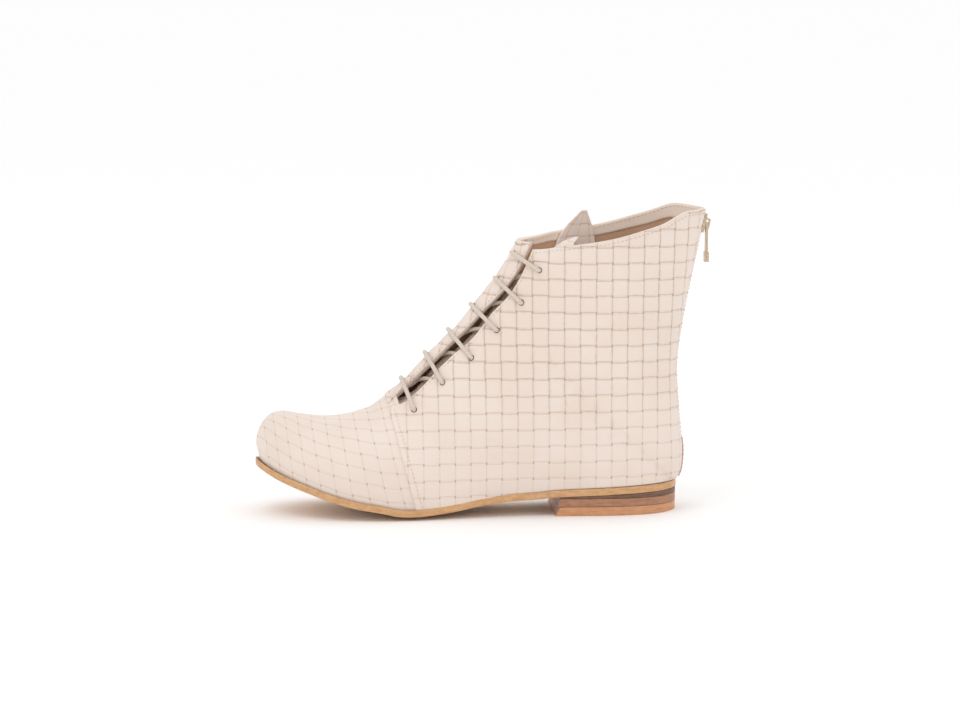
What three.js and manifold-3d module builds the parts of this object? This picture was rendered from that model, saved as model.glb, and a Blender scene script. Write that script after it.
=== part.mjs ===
// Women's lace-up ankle boot for the left foot, standing empty on its sole.
// Millimetres, +Z up. The toe points towards -X and the outer (lateral) side towards -Y.
// The origin lies on the floor, on the flat underside of the heel.
import * as THREE from 'three';
import { mergeVertices } from 'three/addons/utils/BufferGeometryUtils.js';
import Module from 'manifold-3d';

const wasm = await Module();
wasm.setup();

// Driving dimensions
const soleLength = 264;        // back of the heel to the tip of the toe
const ballWidth = 90;          // outsole across the ball
const heelBackX = 41;          // from the origin to the back of the sole
const shaftHeight = 170;       // heel seat to the back of the collar
const heelSeat = 14.4;         // underside of the outsole above the floor at the back
const toeSpring = 29.6;        // underside of the outsole above the floor at the toe tip
const soleCrown = 3.3;         // how far the long edges of the sole curl up from its middle
const flatEase = 0.4;          // how softly the flat spot under the ball blends into the curve
const outsoleThickness = 4.6;
const soleOverhang = 2.6;      // outsole edge outside the upper
const insoleThickness = 2;
const topPieceThickness = 5.7; // wearing layer under the heel
const liftThickness = 4.8;     // heel lift above it
const wallThickness = 2;       // leather and lining together
const overlayStep = 0.9;       // the quarters lie on the vamp by this much
const seat = 0.3;              // gap between pieces that meet
const medialRise = 4.5;        // the inner collar stands higher than the outer one
const eyeletDiameter = 4.4;
const eyeletInset = 9.5;       // eyelet centre to the edge of the throat
const laceDiameter = 2.7;
const laceClearance = 0.6;     // lace to leather
const tongueThickness = 1.8;
const wingGap = 0.9;           // the tongue's upper leaf to the lining beside it
const zipWidth = 7.4;          // tape that shows between the quarters
const zipThickness = 1.6;
const zipLowEnd = 26;          // lower end of the zip above the heel seat
const coverThickness = 0.8;     // leather cover over the foot of the zip
const coverWidth = 14;
const sliderLength = 12;
const sliderWidth = 8.4;
const plateThickness = 1.6;
const bridgeThickness = 1.1;   // loop on the slider that holds the pull
const bridgeWidth = 2.2;
const bridgeReach = 4;         // half of the length of that loop
const pullLength = 24.5;
const pullWidth = 6.4;
const pullThickness = 1.4;
const blockThickness = 2.6;    // thicker lower end of the pull

// Leathers, metal and edge finishes
const finish = (color, roughness, metalness = 0) =>
  new THREE.MeshStandardMaterial({ color, roughness, metalness });
const finishes = {
  upper: finish(0xd9c4b4, 0.6),
  lining: finish(0xa9825f, 0.85),
  edge: finish(0xc08d5c, 0.5),
  topPiece: finish(0xb5713f, 0.6),
  lift: finish(0x8a5a3c, 0.6),
  wedge: finish(0x4a3226, 0.6),
  lace: finish(0xb7a594, 0.85),
  tape: finish(0xa58a7c, 0.8),
  metal: finish(0xb3a184, 0.35, 0.9),
};

// Smooth interpolation through the rows of a table, column by column
const hermite = (a, b, c, d, t) =>
  b + 0.5 * t * (c - a + t * (2 * a - 5 * b + 4 * c - d + t * (3 * (b - c) + d - a)));
const column = (rows, name, at) => {
  const i = Math.min(rows.length - 2, Math.max(0, Math.floor(at)));
  const value = (k) => rows[Math.min(rows.length - 1, Math.max(0, k))][name];
  return hermite(value(i - 1), value(i), value(i + 1), value(i + 2), at - i);
};
const rowPlace = (rows, name, wanted) => {
  let low = 0;
  let high = rows.length - 1;
  for (let step = 0; step < 32; step += 1) {
    const middle = (low + high) / 2;
    if (column(rows, name, middle) < wanted) low = middle;
    else high = middle;
  }
  return (low + high) / 2;
};
const clamp = THREE.MathUtils.clamp;
const lerp = THREE.MathUtils.lerp;
const smooth = THREE.MathUtils.smoothstep;

// Plan of the outsole. along: share of the length from the heel. lateral, medial: shares of the
// ball width from the middle line.
const planRows = [
  { along: 0, lateral: 0, medial: 0 },
  { along: 0.02, lateral: 0.165, medial: 0.165 },
  { along: 0.05, lateral: 0.25, medial: 0.25 },
  { along: 0.1, lateral: 0.31, medial: 0.305 },
  { along: 0.17, lateral: 0.335, medial: 0.325 },
  { along: 0.25, lateral: 0.33, medial: 0.305 },
  { along: 0.34, lateral: 0.325, medial: 0.27 },
  { along: 0.43, lateral: 0.345, medial: 0.265 },
  { along: 0.52, lateral: 0.39, medial: 0.305 },
  { along: 0.61, lateral: 0.435, medial: 0.385 },
  { along: 0.68, lateral: 0.455, medial: 0.46 },
  { along: 0.74, lateral: 0.45, medial: 0.49 },
  { along: 0.8, lateral: 0.425, medial: 0.485 },
  { along: 0.86, lateral: 0.37, medial: 0.45 },
  { along: 0.91, lateral: 0.295, medial: 0.385 },
  { along: 0.95, lateral: 0.205, medial: 0.3 },
  { along: 0.98, lateral: 0.1, medial: 0.2 },
  { along: 1, lateral: -0.05, medial: 0.05 },
];
const swing = (share) => Math.acos(1 - 2 * clamp(share, 0, 1)) / Math.PI;
const swungPlan = planRows.map((row) => ({ ...row, swing: swing(row.along) }));
// y of the outsole edge at a share of the length; side is -1 outside and 1 inside
const soleEdge = (share, side) => {
  const at = rowPlace(swungPlan, 'swing', swing(share));
  return side * ballWidth * column(swungPlan, side < 0 ? 'lateral' : 'medial', at);
};

// Underside of the outsole along its middle line: share of the heel seat height behind the
// ball, and of the toe spring in front of it. It dips below the floor under the ball, where the
// sole is cut off flat.
const profileRows = [
  { along: 0, heel: 1, toe: 0 },
  { along: 0.08, heel: 0.965, toe: 0 },
  { along: 0.174, heel: 0.9, toe: 0 },
  { along: 0.288, heel: 0.82, toe: 0 },
  { along: 0.337, heel: 0.725, toe: 0 },
  { along: 0.386, heel: 0.61, toe: 0 },
  { along: 0.432, heel: 0.46, toe: 0 },
  { along: 0.481, heel: 0.29, toe: 0 },
  { along: 0.527, heel: 0.125, toe: 0 },
  { along: 0.572, heel: 0.015, toe: 0 },
  { along: 0.617, heel: -0.062, toe: 0 },
  { along: 0.663, heel: 0, toe: -0.021 },
  { along: 0.712, heel: 0, toe: 0.065 },
  { along: 0.761, heel: 0, toe: 0.14 },
  { along: 0.807, heel: 0, toe: 0.24 },
  { along: 0.852, heel: 0, toe: 0.365 },
  { along: 0.898, heel: 0, toe: 0.525 },
  { along: 0.943, heel: 0, toe: 0.72 },
  { along: 0.977, heel: 0, toe: 0.885 },
  { along: 1, heel: 0, toe: 1 },
];
const shareOf = (x) => (heelBackX - x) / soleLength;
const xAt = (share) => heelBackX - soleLength * share;
const crownAt = (share) => smooth(share, 0.3, 0.5) * (1 - smooth(share, 0.86, 1));
const soleUnder = (x, y) => {
  const share = clamp(shareOf(x), 0, 1);
  const at = rowPlace(profileRows, 'along', share);
  const middle = heelSeat * column(profileRows, 'heel', at)
    + toeSpring * column(profileRows, 'toe', at);
  const edge = 0.5 * (soleEdge(share, 1) - soleEdge(share, -1));
  const centre = 0.5 * (soleEdge(share, 1) + soleEdge(share, -1));
  const across = edge > 1 ? Math.min(1.2, Math.abs(y - centre) / edge) : 0;
  const height = middle + soleCrown * crownAt(share) * across * across;
  if (height > flatEase) return height;
  return height < -flatEase ? 0 : (height + flatEase) ** 2 / (4 * flatEase);
};
const soleTop = (x, y) => soleUnder(x, y) + outsoleThickness;
const seatHeight = heelSeat + outsoleThickness;

// The last. Each row is one section from the top line of the boot (ridge) to its low line, which
// runs along the sole to the heel and then up the back. X in shares of the sole length from the
// back of the heel, rises in shares of the shaft height, girths in shares of the ball width.
// front and back: roundness of the section, 1 is an ellipse and less is boxier.
const toeRows = [
  { ridgeX: 0.999, ridgeRise: 0.06, lowX: 0.99, girth: 0, bend: 0.05, front: 0.9, back: 0.9 },
  { ridgeX: 0.996, ridgeRise: 0.098, lowX: 0.986, girth: 0, bend: 0.05, front: 0.88, back: 0.9 },
  { ridgeX: 0.987, ridgeRise: 0.142, lowX: 0.975, girth: 0, bend: 0.048, front: 0.84, back: 0.9 },
  { ridgeX: 0.973, ridgeRise: 0.184, lowX: 0.958, girth: 0, bend: 0.045, front: 0.8, back: 0.9 },
  { ridgeX: 0.955, ridgeRise: 0.219, lowX: 0.936, girth: 0, bend: 0.042, front: 0.78, back: 0.9 },
  { ridgeX: 0.928, ridgeRise: 0.244, lowX: 0.907, girth: 0, bend: 0.037, front: 0.78, back: 0.9 },
  { ridgeX: 0.89, ridgeRise: 0.259, lowX: 0.867, girth: 0, bend: 0.03, front: 0.8, back: 0.9 },
  { ridgeX: 0.837, ridgeRise: 0.28, lowX: 0.811, girth: 0, bend: 0.02, front: 0.84, back: 0.9 },
  { ridgeX: 0.784, ridgeRise: 0.312, lowX: 0.748, girth: 0.3, bend: 0.011, front: 0.9, back: 0.9 },
  { ridgeX: 0.735, ridgeRise: 0.353, lowX: 0.686, girth: 0.36, bend: 0.004, front: 0.98, back: 0.9 },
  { ridgeX: 0.693, ridgeRise: 0.402, lowX: 0.628, girth: 0.385, bend: 0, front: 1.15, back: 0.88 },
  { ridgeX: 0.648, ridgeRise: 0.448, lowX: 0.547, girth: 0.388, bend: 0, front: 1.4, back: 0.85 },
  { ridgeX: 0.6, ridgeRise: 0.496, lowX: 0.439, girth: 0.378, bend: 0, front: 1.45, back: 0.8 },
  { ridgeX: 0.556, ridgeRise: 0.536, lowX: 0.307, girth: 0.365, bend: 0, front: 1.35, back: 0.72 },
  { ridgeX: 0.517, ridgeRise: 0.585, lowX: 0.174, girth: 0.35, bend: 0, front: 1.2, back: 0.66 },
  { ridgeX: 0.483, ridgeRise: 0.647, lowX: 0.064, girth: 0.34, bend: 0, front: 1.08, back: 0.62 },
];
// lowRise is the height on the back line above the heel seat
const shaftRows = [
  { ridgeX: 0.456, ridgeRise: 0.697, lowX: 0.006, lowRise: 0, girth: 0.333, front: 1, back: 0.6 },
  { ridgeX: 0.432, ridgeRise: 0.744, lowX: -0.01, lowRise: 0.09, girth: 0.33, front: 0.95, back: 0.62 },
  { ridgeX: 0.411, ridgeRise: 0.791, lowX: -0.002, lowRise: 0.253, girth: 0.33, front: 0.9, back: 0.66 },
  { ridgeX: 0.394, ridgeRise: 0.835, lowX: 0.004, lowRise: 0.429, girth: 0.335, front: 0.87, back: 0.7 },
  { ridgeX: 0.38, ridgeRise: 0.879, lowX: -0.011, lowRise: 0.606, girth: 0.345, front: 0.86, back: 0.75 },
  { ridgeX: 0.368, ridgeRise: 0.921, lowX: -0.031, lowRise: 0.765, girth: 0.36, front: 0.85, back: 0.78 },
  { ridgeX: 0.359, ridgeRise: 0.959, lowX: -0.051, lowRise: 0.915, girth: 0.37, front: 0.86, back: 0.8 },
  { ridgeX: 0.351, ridgeRise: 0.998, lowX: -0.07, lowRise: 1.055, girth: 0.375, front: 0.87, back: 0.8 },
];
const lastRows = [
  ...toeRows.map((row) => ({ ...row, lowRise: 0 })),
  ...shaftRows.map((row) => ({ ...row, bend: 0 })),
];
const ringStart = toeRows.length;       // from this row on the sections close behind the heel
const lastRow = lastRows.length - 1;
const quarterRow = 10;                  // front edge of the quarters
const throatRow = 10.1;                 // lower end of the lacing

// Plan of the upper where it meets the sole: the sole's own outline, drawn in by the overhang
const featherBack = 0.006;
const featherFront = 0.99;
const featherY = (x, side) => {
  const share = (shareOf(x) - featherBack) / (featherFront - featherBack);
  return soleEdge(clamp(share, 0, 1), side) * (1 - (2 * soleOverhang) / ballWidth);
};

const sectionAt = (at) => {
  const value = (name) => column(lastRows, name, at);
  const low = new THREE.Vector3(xAt(value('lowX')), 0, 0);
  const onSole = at < ringStart;
  const centre = ballWidth * value('bend');
  const base = onSole ? soleTop(low.x, centre) : seatHeight;
  low.z = base + seat + (onSole ? 0 : shaftHeight * value('lowRise'));
  const ridge = new THREE.Vector3(xAt(value('ridgeX')), 0, base + shaftHeight * value('ridgeRise'));
  const halves = [-1, 1].map((side) => {
    const foot = onSole ? Math.max(0, side * (featherY(low.x, side) - centre)) : 0;
    const girth = ballWidth * value('girth');
    const half = (girth ** 8 + (1.04 * foot) ** 8) ** (1 / 8);
    const back = value('back');
    const end = half > 0 ? Math.PI - Math.asin(clamp((foot / half) ** (1 / back), 0, 1)) : 1.9;
    return { half, back, end: onSole && at > 0 ? end : onSole ? 1.9 : Math.PI };
  });
  return { ridge, low, centre, halves, front: value('front') };
};
// Point of the outer surface. angle runs from 0 on the ridge to the end on the low line.
const sectionPoint = (section, side, angle) => {
  const { half, back, end } = section.halves[side < 0 ? 0 : 1];
  const across = Math.max(0, Math.sin(angle)) ** (angle < Math.PI / 2 ? section.front : back);
  const down = (1 - Math.cos(angle)) / (1 - Math.cos(end));
  const point = section.ridge.clone().lerp(section.low, down);
  point.y = section.centre + side * half * across;
  return point;
};
// Angles that cut one side of a section into pieces of equal length
const evenAngles = (section, side, count) => {
  const fine = 90;
  const end = section.halves[side < 0 ? 0 : 1].end;
  const lengths = [0];
  let before = sectionPoint(section, side, 0);
  for (let k = 1; k <= fine; k += 1) {
    const next = sectionPoint(section, side, (end * k) / fine);
    lengths.push(lengths[k - 1] + next.distanceTo(before));
    before = next;
  }
  return Array.from({ length: count + 1 }, (_, j) => {
    const wanted = (lengths[fine] * j) / count;
    let k = 1;
    while (k < fine && lengths[k] < wanted) k += 1;
    const step = lengths[k] - lengths[k - 1];
    const part = step > 0 ? (wanted - lengths[k - 1]) / step : 0;
    return (end * (k - 1 + clamp(part, 0, 1))) / fine;
  });
};
// Outward normal of the last, by small steps along it
const surfacePoint = (at, side, angle) => sectionPoint(sectionAt(at), side, angle);
const surfaceNormal = (at, side, angle) => {
  const du = 0.02;
  const da = 0.02;
  const low = Math.max(0.01, at - du);
  const along = surfacePoint(Math.min(lastRow, at + du), side, angle).sub(surfacePoint(low, side, angle));
  const end = sectionAt(at).halves[side < 0 ? 0 : 1].end;
  const to = surfacePoint(at, side, Math.min(end, angle + da));
  const from = angle - da < 0
    ? surfacePoint(at, -side, da - angle) : surfacePoint(at, side, angle - da);
  return new THREE.Vector3().crossVectors(along, to.sub(from)).multiplyScalar(side).normalize();
};
// Place on the last that is seen at x, z from the side
const placeFromSide = (x, z, side) => {
  const past = (at) => {
    const { ridge, low } = sectionAt(at);
    return (low.x - ridge.x) * (z - ridge.z) - (low.z - ridge.z) * (x - ridge.x);
  };
  let from = 0;
  let to = lastRow;
  for (let step = 0; step < 26; step += 1) {
    const middle = (from + to) / 2;
    if (past(middle) > 0) from = middle;
    else to = middle;
  }
  const at = (from + to) / 2;
  const section = sectionAt(at);
  const line = section.low.clone().sub(section.ridge);
  const down = ((x - section.ridge.x) * line.x + (z - section.ridge.z) * line.z)
    / (line.x ** 2 + line.z ** 2);
  const end = section.halves[side < 0 ? 0 : 1].end;
  const angle = Math.acos(clamp(1 - clamp(down, 0, 1) * (1 - Math.cos(end)), -1, 1));
  return { at, angle };
};

// Closed bodies from grids of points
const weld = (points, faces) => {
  const known = new Map();
  const flat = [];
  const index = points.map((point) => {
    const key = [point.x, point.y, point.z].map((v) => Math.round(v * 5000)).join(',');
    if (!known.has(key)) {
      known.set(key, flat.length / 3);
      flat.push(point.x, point.y, point.z);
    }
    return known.get(key);
  });
  const triangles = [];
  faces.forEach((face) => {
    const [a, b, c] = face.map((k) => index[k]);
    if (a !== b && b !== c && c !== a) triangles.push(a, b, c);
  });
  const geometry = new THREE.BufferGeometry();
  geometry.setAttribute('position', new THREE.Float32BufferAttribute(flat, 3));
  geometry.setIndex(triangles);
  return geometry;
};
const volumeOf = (geometry) => {
  const spot = geometry.attributes.position;
  const corner = [0, 1, 2].map(() => new THREE.Vector3());
  let volume = 0;
  for (let k = 0; k < geometry.index.count; k += 3) {
    corner.forEach((v, n) => v.fromBufferAttribute(spot, geometry.index.getX(k + n)));
    volume += corner[0].dot(corner[1].clone().cross(corner[2])) / 6;
  }
  return volume;
};
const facingOut = (geometry) => {
  if (volumeOf(geometry) >= 0) return geometry;
  const turned = Array.from(geometry.index.array);
  for (let k = 0; k < turned.length; k += 3) {
    [turned[k], turned[k + 1]] = [turned[k + 1], turned[k]];
  }
  geometry.setIndex(turned);
  return geometry;
};
// A wall between two grids of the same size. open: no rim where rows are closed rings
const wallBetween = (outer, inner, rimRow = Infinity) => {
  const rows = outer.length;
  const columns = outer[0].length;
  const points = [...outer.flat(), ...inner.flat()];
  const o = (i, j) => i * columns + j;
  const n = (i, j) => rows * columns + o(i, j);
  const faces = [];
  const quad = (a, b, c, d) => faces.push([a, b, c], [a, c, d]);
  for (let i = 0; i < rows - 1; i += 1) {
    for (let j = 0; j < columns - 1; j += 1) {
      const corners = [[i, j], [i + 1, j], [i + 1, j + 1], [i, j + 1]];
      if (j >= (columns - 1) / 2) corners.push(corners.shift());
      quad(...corners.map(([a, b]) => o(a, b)));
      quad(...corners.map(([a, b]) => n(a, b)).reverse());
    }
    if (i < rimRow) {
      quad(o(i, 0), n(i, 0), n(i + 1, 0), o(i + 1, 0));
      const last = columns - 1;
      quad(o(i, last), o(i + 1, last), n(i + 1, last), n(i, last));
    }
  }
  for (let j = 0; j < columns - 1; j += 1) {
    quad(o(0, j), o(0, j + 1), n(0, j + 1), n(0, j));
    const end = rows - 1;
    quad(o(end, j), n(end, j), n(end, j + 1), o(end, j + 1));
  }
  return facingOut(weld(points, faces));
};
const toSolid = (geometry) => {
  const bare = geometry.clone();
  bare.deleteAttribute('normal');
  bare.deleteAttribute('uv');
  const merged = mergeVertices(bare, 1e-5);
  return new wasm.Manifold(new wasm.Mesh({
    numProp: 3,
    vertProperties: new Float32Array(merged.attributes.position.array),
    triVerts: new Uint32Array(merged.index.array),
  }));
};
const toGeometry = (solid) => {
  const mesh = solid.getMesh();
  const geometry = new THREE.BufferGeometry();
  geometry.setAttribute('position', new THREE.BufferAttribute(mesh.vertProperties, 3));
  geometry.setIndex(new THREE.BufferAttribute(mesh.triVerts, 1));
  return geometry;
};

const boot = new THREE.Group();
const add = (name, geometry, material) => {
  const mesh = new THREE.Mesh(geometry, material);
  mesh.name = name;
  boot.add(mesh);
  return mesh;
};

// Flat layers that follow the plan of the sole
const layer = ({ from, to, rows, columns = 6, inset, under, over, breast = () => 0 }) => {
  const grid = (height, level) => Array.from({ length: rows + 1 }, (_, i) => {
    const turn = lerp(swing(from), swing(to), i / rows);
    const share = (1 - Math.cos(turn * Math.PI)) / 2;
    return Array.from({ length: columns + 1 }, (_, j) => {
      const left = soleEdge(share, -1);
      const right = soleEdge(share, 1);
      const middle = (left + right) / 2;
      const reach = ((right - left) / 2) * (1 - (2 * inset) / ballWidth);
      const y = middle + reach * (2 * (j / columns) - 1);
      const shrunk = share + (0.5 - share) * ((2 * inset) / soleLength);
      const x = xAt(shrunk) + breast(level) * (i / rows);
      return new THREE.Vector3(x, y, height(x, y));
    });
  });
  return wallBetween(grid(over, 1), grid(under, 0));
};

const soleRows = 54;
const outsoleGeometry = layer({
  from: 0, to: 1, rows: soleRows, inset: 0, under: soleUnder, over: soleTop,
});
add('outsole', outsoleGeometry, finishes.edge);

const breastShare = 0.285;     // front face of the heel
const breastSlope = -3;        // the heel's front face leans forward towards the floor
const liftTop = topPieceThickness + seat + liftThickness;
add('heel_wedge', layer({
  from: 0, to: breastShare, rows: 14, inset: 0.3,
  under: () => liftTop + seat, over: (x, y) => soleUnder(x, y) - seat,
}), finishes.wedge);
add('heel_lift', layer({
  from: 0, to: breastShare, rows: 14, inset: 0.4,
  under: () => topPieceThickness + seat, over: () => liftTop,
  breast: (level) => breastSlope * 0.5 * (1 - level),
}), finishes.lift);
add('heel_top_piece', layer({
  from: 0, to: breastShare, rows: 14, inset: 0.5,
  under: () => 0, over: () => topPieceThickness,
  breast: (level) => breastSlope * (level ? 0.5 : 1),
}), finishes.topPiece);
add('insole', layer({
  from: 0, to: 1, rows: soleRows, columns: 4, inset: soleOverhang + wallThickness + 2.2,
  under: (x, y) => soleTop(x, y) + seat,
  over: (x, y) => soleTop(x, y) + seat + insoleThickness,
}), finishes.lining);

// The upper: one hollow wall, open underneath, at the throat and at the collar
const sideColumns = 13;
const upperPlaces = [0, 0.5, 1, 1.5, 2, 2.6, 3.3, 4, 5, 6, 7, 7.7, 8.4, 9.2, quarterRow - 0.12,
  quarterRow + 0.12, 10.65, 11.15, 11.55, 11.9, 12.4, 13, 13.7, 14.4, 15, 15.5, 15.75, 15.9, 16, 16.4, 17, 17.6, 18.3,
  19, 20, 21, 22, lastRow];
const upperSection = (at) => {
  const section = sectionAt(at);
  const half = (side) => evenAngles(section, side, sideColumns)
    .map((angle) => ({ side, angle, point: sectionPoint(section, side, angle) }));
  return [...half(-1).reverse(), ...half(1).slice(1)];
};
const upperGrid = upperPlaces.map(upperSection);
const ringRow = upperPlaces.indexOf(16);
const offsetGrid = (reach) => upperGrid.map((line, i) => line.map(({ side, angle, point }, j) => {
  const at = upperPlaces[i];
  const end = j === 0 || j === line.length - 1;
  const normal = surfaceNormal(Math.max(at, 0.05), side, clamp(angle, 0.001, Math.PI - 0.001));
  if (j === sideColumns) normal.y = at > 0 ? normal.y * 0.5 : 0;
  if (end && i >= ringRow) normal.y = 0;
  if (at === 0) normal.set(-1, 0, Math.max(0, 0.5 - angle)).normalize();
  normal.normalize();
  const moved = point.clone().addScaledVector(normal, reach(at));
  if (end && i <= ringRow) moved.z = soleTop(moved.x, moved.y) + seat;
  return moved;
}));
const upperOutside = offsetGrid((at) => (at > quarterRow ? overlayStep : 0));
const upperInside = offsetGrid(() => -wallThickness);
const upperBlank = toSolid(wallBetween(upperOutside, upperInside, ringRow));

// Cutter for the throat: a strip of the last, thick enough to pass through the wall.
// lateral and medial: angle from the ridge to each edge of the gap. The gap is narrow and lies on
// the outer side of the ridge, so the medial angles are negative.
const throatRows = [
  { place: throatRow, lateral: 0.5, medial: -0.4 },
  { place: 10.75, lateral: 0.59, medial: -0.3 },
  { place: 11.7, lateral: 0.6, medial: -0.33 },
  { place: 12.4, lateral: 0.57, medial: -0.36 },
  { place: 14, lateral: 0.51, medial: -0.31 },
  { place: 15.2, lateral: 0.5, medial: -0.36 },
  { place: 17, lateral: 0.54, medial: -0.42 },
  { place: 19, lateral: 0.57, medial: -0.47 },
  { place: lastRow, lateral: 0.57, medial: -0.47 },
];
const throatEdge = (at, side) =>
  column(throatRows, side < 0 ? 'lateral' : 'medial', rowPlace(throatRows, 'place', at));
const lastPoint = (at, signedAngle, reach) => {
  const side = signedAngle < 0 ? -1 : 1;
  const angle = Math.abs(signedAngle);
  return surfacePoint(at, side, angle).addScaledVector(surfaceNormal(at, side, angle), reach);
};
const patch = ({ places, columns, low, high, inner, outer }) => {
  const grid = (reach) => places.map((at) => Array.from({ length: columns + 1 }, (_, j) =>
    lastPoint(at, lerp(low(at), high(at), j / columns), reach(at))));
  return wallBetween(grid(outer), grid(inner));
};
const throatPlaces = [throatRow, 10.3, 10.6, 11.2, 12, 13, 14, 15, 16, 17, 18, 19, 20, 21, 22, lastRow];
const cutReach = 5;
const throatCutter = toSolid(patch({
  places: throatPlaces, columns: 4,
  low: (at) => -throatEdge(at, -1), high: (at) => throatEdge(at, 1),
  inner: () => -cutReach, outer: () => cutReach,
}));

// Collar lines, seen from the side. along: share from the front to the back of the shaft's top.
// rise: share of the shaft height above the heel seat.
const collarRows = [
  { along: -0.4, rise: 0.85 },
  { along: 0, rise: 0.862 },
  { along: 0.14, rise: 0.876 },
  { along: 0.3, rise: 0.888 },
  { along: 0.46, rise: 0.906 },
  { along: 0.6, rise: 0.93 },
  { along: 0.73, rise: 0.955 },
  { along: 0.82, rise: 0.984 },
  { along: 0.88, rise: 0.997 },
  { along: 1, rise: 1 },
  { along: 1.3, rise: 1 },
];
// Lateral and medial collar lines change over in the middle of the gap
const topPlace = 20;
const gapMiddle = (throatEdge(topPlace, 1) - throatEdge(topPlace, -1)) / 2;
const collarSplit = lastPoint(topPlace, gapMiddle, 0).y;
const collarFront = xAt(0.347);
const collarDepth = soleLength * 0.413;
const collarHeight = (x, side) => {
  const along = clamp((x - collarFront) / collarDepth, -0.4, 1.3);
  const rise = column(collarRows, 'rise', rowPlace(collarRows, 'along', along));
  const lifted = side > 0 ? medialRise * (1 - smooth(along, 0.7, 1)) : 0;
  return seatHeight + shaftHeight * rise + lifted;
};
const collarCutter = (side) => {
  const outline = new THREE.Shape();
  const ends = [collarFront - 0.4 * collarDepth, collarFront + 1.3 * collarDepth];
  const top = seatHeight + shaftHeight * 1.4;
  outline.moveTo(ends[1], top);
  outline.lineTo(ends[0], top);
  const steps = 24;
  for (let k = 0; k <= steps; k += 1) {
    const x = lerp(ends[0], ends[1], k / steps);
    outline.lineTo(x, collarHeight(x, side));
  }
  const slab = new THREE.ExtrudeGeometry(outline, { depth: ballWidth, bevelEnabled: false });
  slab.rotateX(Math.PI / 2);
  slab.translate(0, collarSplit + (side > 0 ? ballWidth : 0), 0);
  return toSolid(slab);
};

// Slot down the back for the zip
const backPoint = (rise, y, reach) => {
  const at = rowPlace(lastRows.slice(ringStart), 'lowRise', rise) + ringStart;
  const section = sectionAt(at);
  const { half, back } = section.halves[0];
  const angle = Math.PI - Math.asin(clamp((Math.abs(y) / half) ** (1 / back), 0, 1));
  const normal = surfaceNormal(at, 1, Math.PI - 0.001);
  normal.y = 0;
  const point = sectionPoint(section, y < 0 ? -1 : 1, angle);
  point.y = y;
  return point.addScaledVector(normal.normalize(), reach);
};
const backStrip = ({ from, to, rows, width, inner, outer }) => {
  const columns = 4;
  const grid = (reach) => Array.from({ length: rows + 1 }, (_, i) =>
    Array.from({ length: columns + 1 }, (_, j) =>
      backPoint(lerp(from, to, i / rows), width * (j / columns - 0.5), reach)));
  return wallBetween(grid(outer), grid(inner));
};
const zipFrom = zipLowEnd / shaftHeight;
const zipTo = 0.985;
const slotEnd = 1.05;
const slotCutter = toSolid(backStrip({
  from: zipFrom - seat / shaftHeight, to: slotEnd, rows: 14, width: zipWidth + 2 * seat,
  inner: -cutReach, outer: cutReach,
}));

// Eyelets: punched holes along both edges of the throat
const eyeletPlaces = [11, 12.2, 13.5, 15, 17.1, 19.2];
const eyeletAngle = (at, side) => {
  let angle = throatEdge(at, side);
  let before = lastPoint(at, side * angle, 0);
  let length = 0;
  while (length < eyeletInset) {
    angle += 0.01;
    const next = lastPoint(at, side * angle, 0);
    length += next.distanceTo(before);
    before = next;
  }
  return angle;
};
const eyeletHole = (at, side) => {
  const angle = side * eyeletAngle(at, side);
  const hole = new THREE.CylinderGeometry(eyeletDiameter / 2, eyeletDiameter / 2, 2 * cutReach, 10);
  const centre = lastPoint(at, angle, 0);
  const normal = lastPoint(at, angle, 1).sub(centre);
  hole.applyQuaternion(new THREE.Quaternion().setFromUnitVectors(new THREE.Vector3(0, 1, 0), normal));
  hole.translate(centre.x, centre.y, centre.z);
  return toSolid(hole);
};
const holes = eyeletPlaces.flatMap((at) => [eyeletHole(at, -1), eyeletHole(at, 1)]);
const upperSolid = [throatCutter, collarCutter(-1), collarCutter(1), slotCutter, ...holes]
  .reduce((solid, cutter) => solid.subtract(cutter), upperBlank);
add('upper', toGeometry(upperSolid), finishes.upper);

// The tongue follows the inside of the throat low down and leans back into the shaft higher up.
// lean: how far it hangs behind the ridge, low and high: its edges as angles from the ridge.
const tongueRows = [
  { place: 10.05, lean: 0.2, lateral: 0.8, medial: 0.3 },
  { place: 10.7, lean: 5, lateral: 0.95, medial: 0.6 },
  { place: 12, lean: 7, lateral: 1, medial: 0.75 },
  { place: 14, lean: 7.2, lateral: 0.95, medial: 0.78 },
  { place: 16, lean: 8, lateral: 0.9, medial: 0.78 },
  { place: 18, lean: 9.5, lateral: 0.82, medial: 0.75 },
  { place: 20, lean: 17, lateral: 0.7, medial: 0.68 },
  { place: 21.2, lean: 23, lateral: 0.5, medial: 0.6 },
  { place: 22, lean: 31, lateral: 0.12, medial: 0.3 },
];
const tongueGap = wallThickness + seat + 0.3;
const tonguePoint = (at, across, depth) => {
  const where = rowPlace(tongueRows, 'place', at);
  const edge = column(tongueRows, across < 0 ? 'lateral' : 'medial', where);
  const inward = surfaceNormal(at, 1, 0.001).negate();
  inward.y = 0;
  const lean = inward.normalize().multiplyScalar(column(tongueRows, 'lean', where));
  return lastPoint(at, across * edge, -(tongueGap + depth)).add(lean);
};
const tonguePlaces = [10.05, 10.35, 10.7, 11.4, 12, 13, 14, 15, 16, 17, 18, 19, 20, 20.6, 21.2, 21.6, 22];
const tongueGrid = (depth) => tonguePlaces.map((at) =>
  Array.from({ length: 13 }, (_, j) => tonguePoint(at, (j - 6) / 6, depth)));
add('tongue', wallBetween(tongueGrid(0), tongueGrid(tongueThickness)), finishes.upper);

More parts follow.
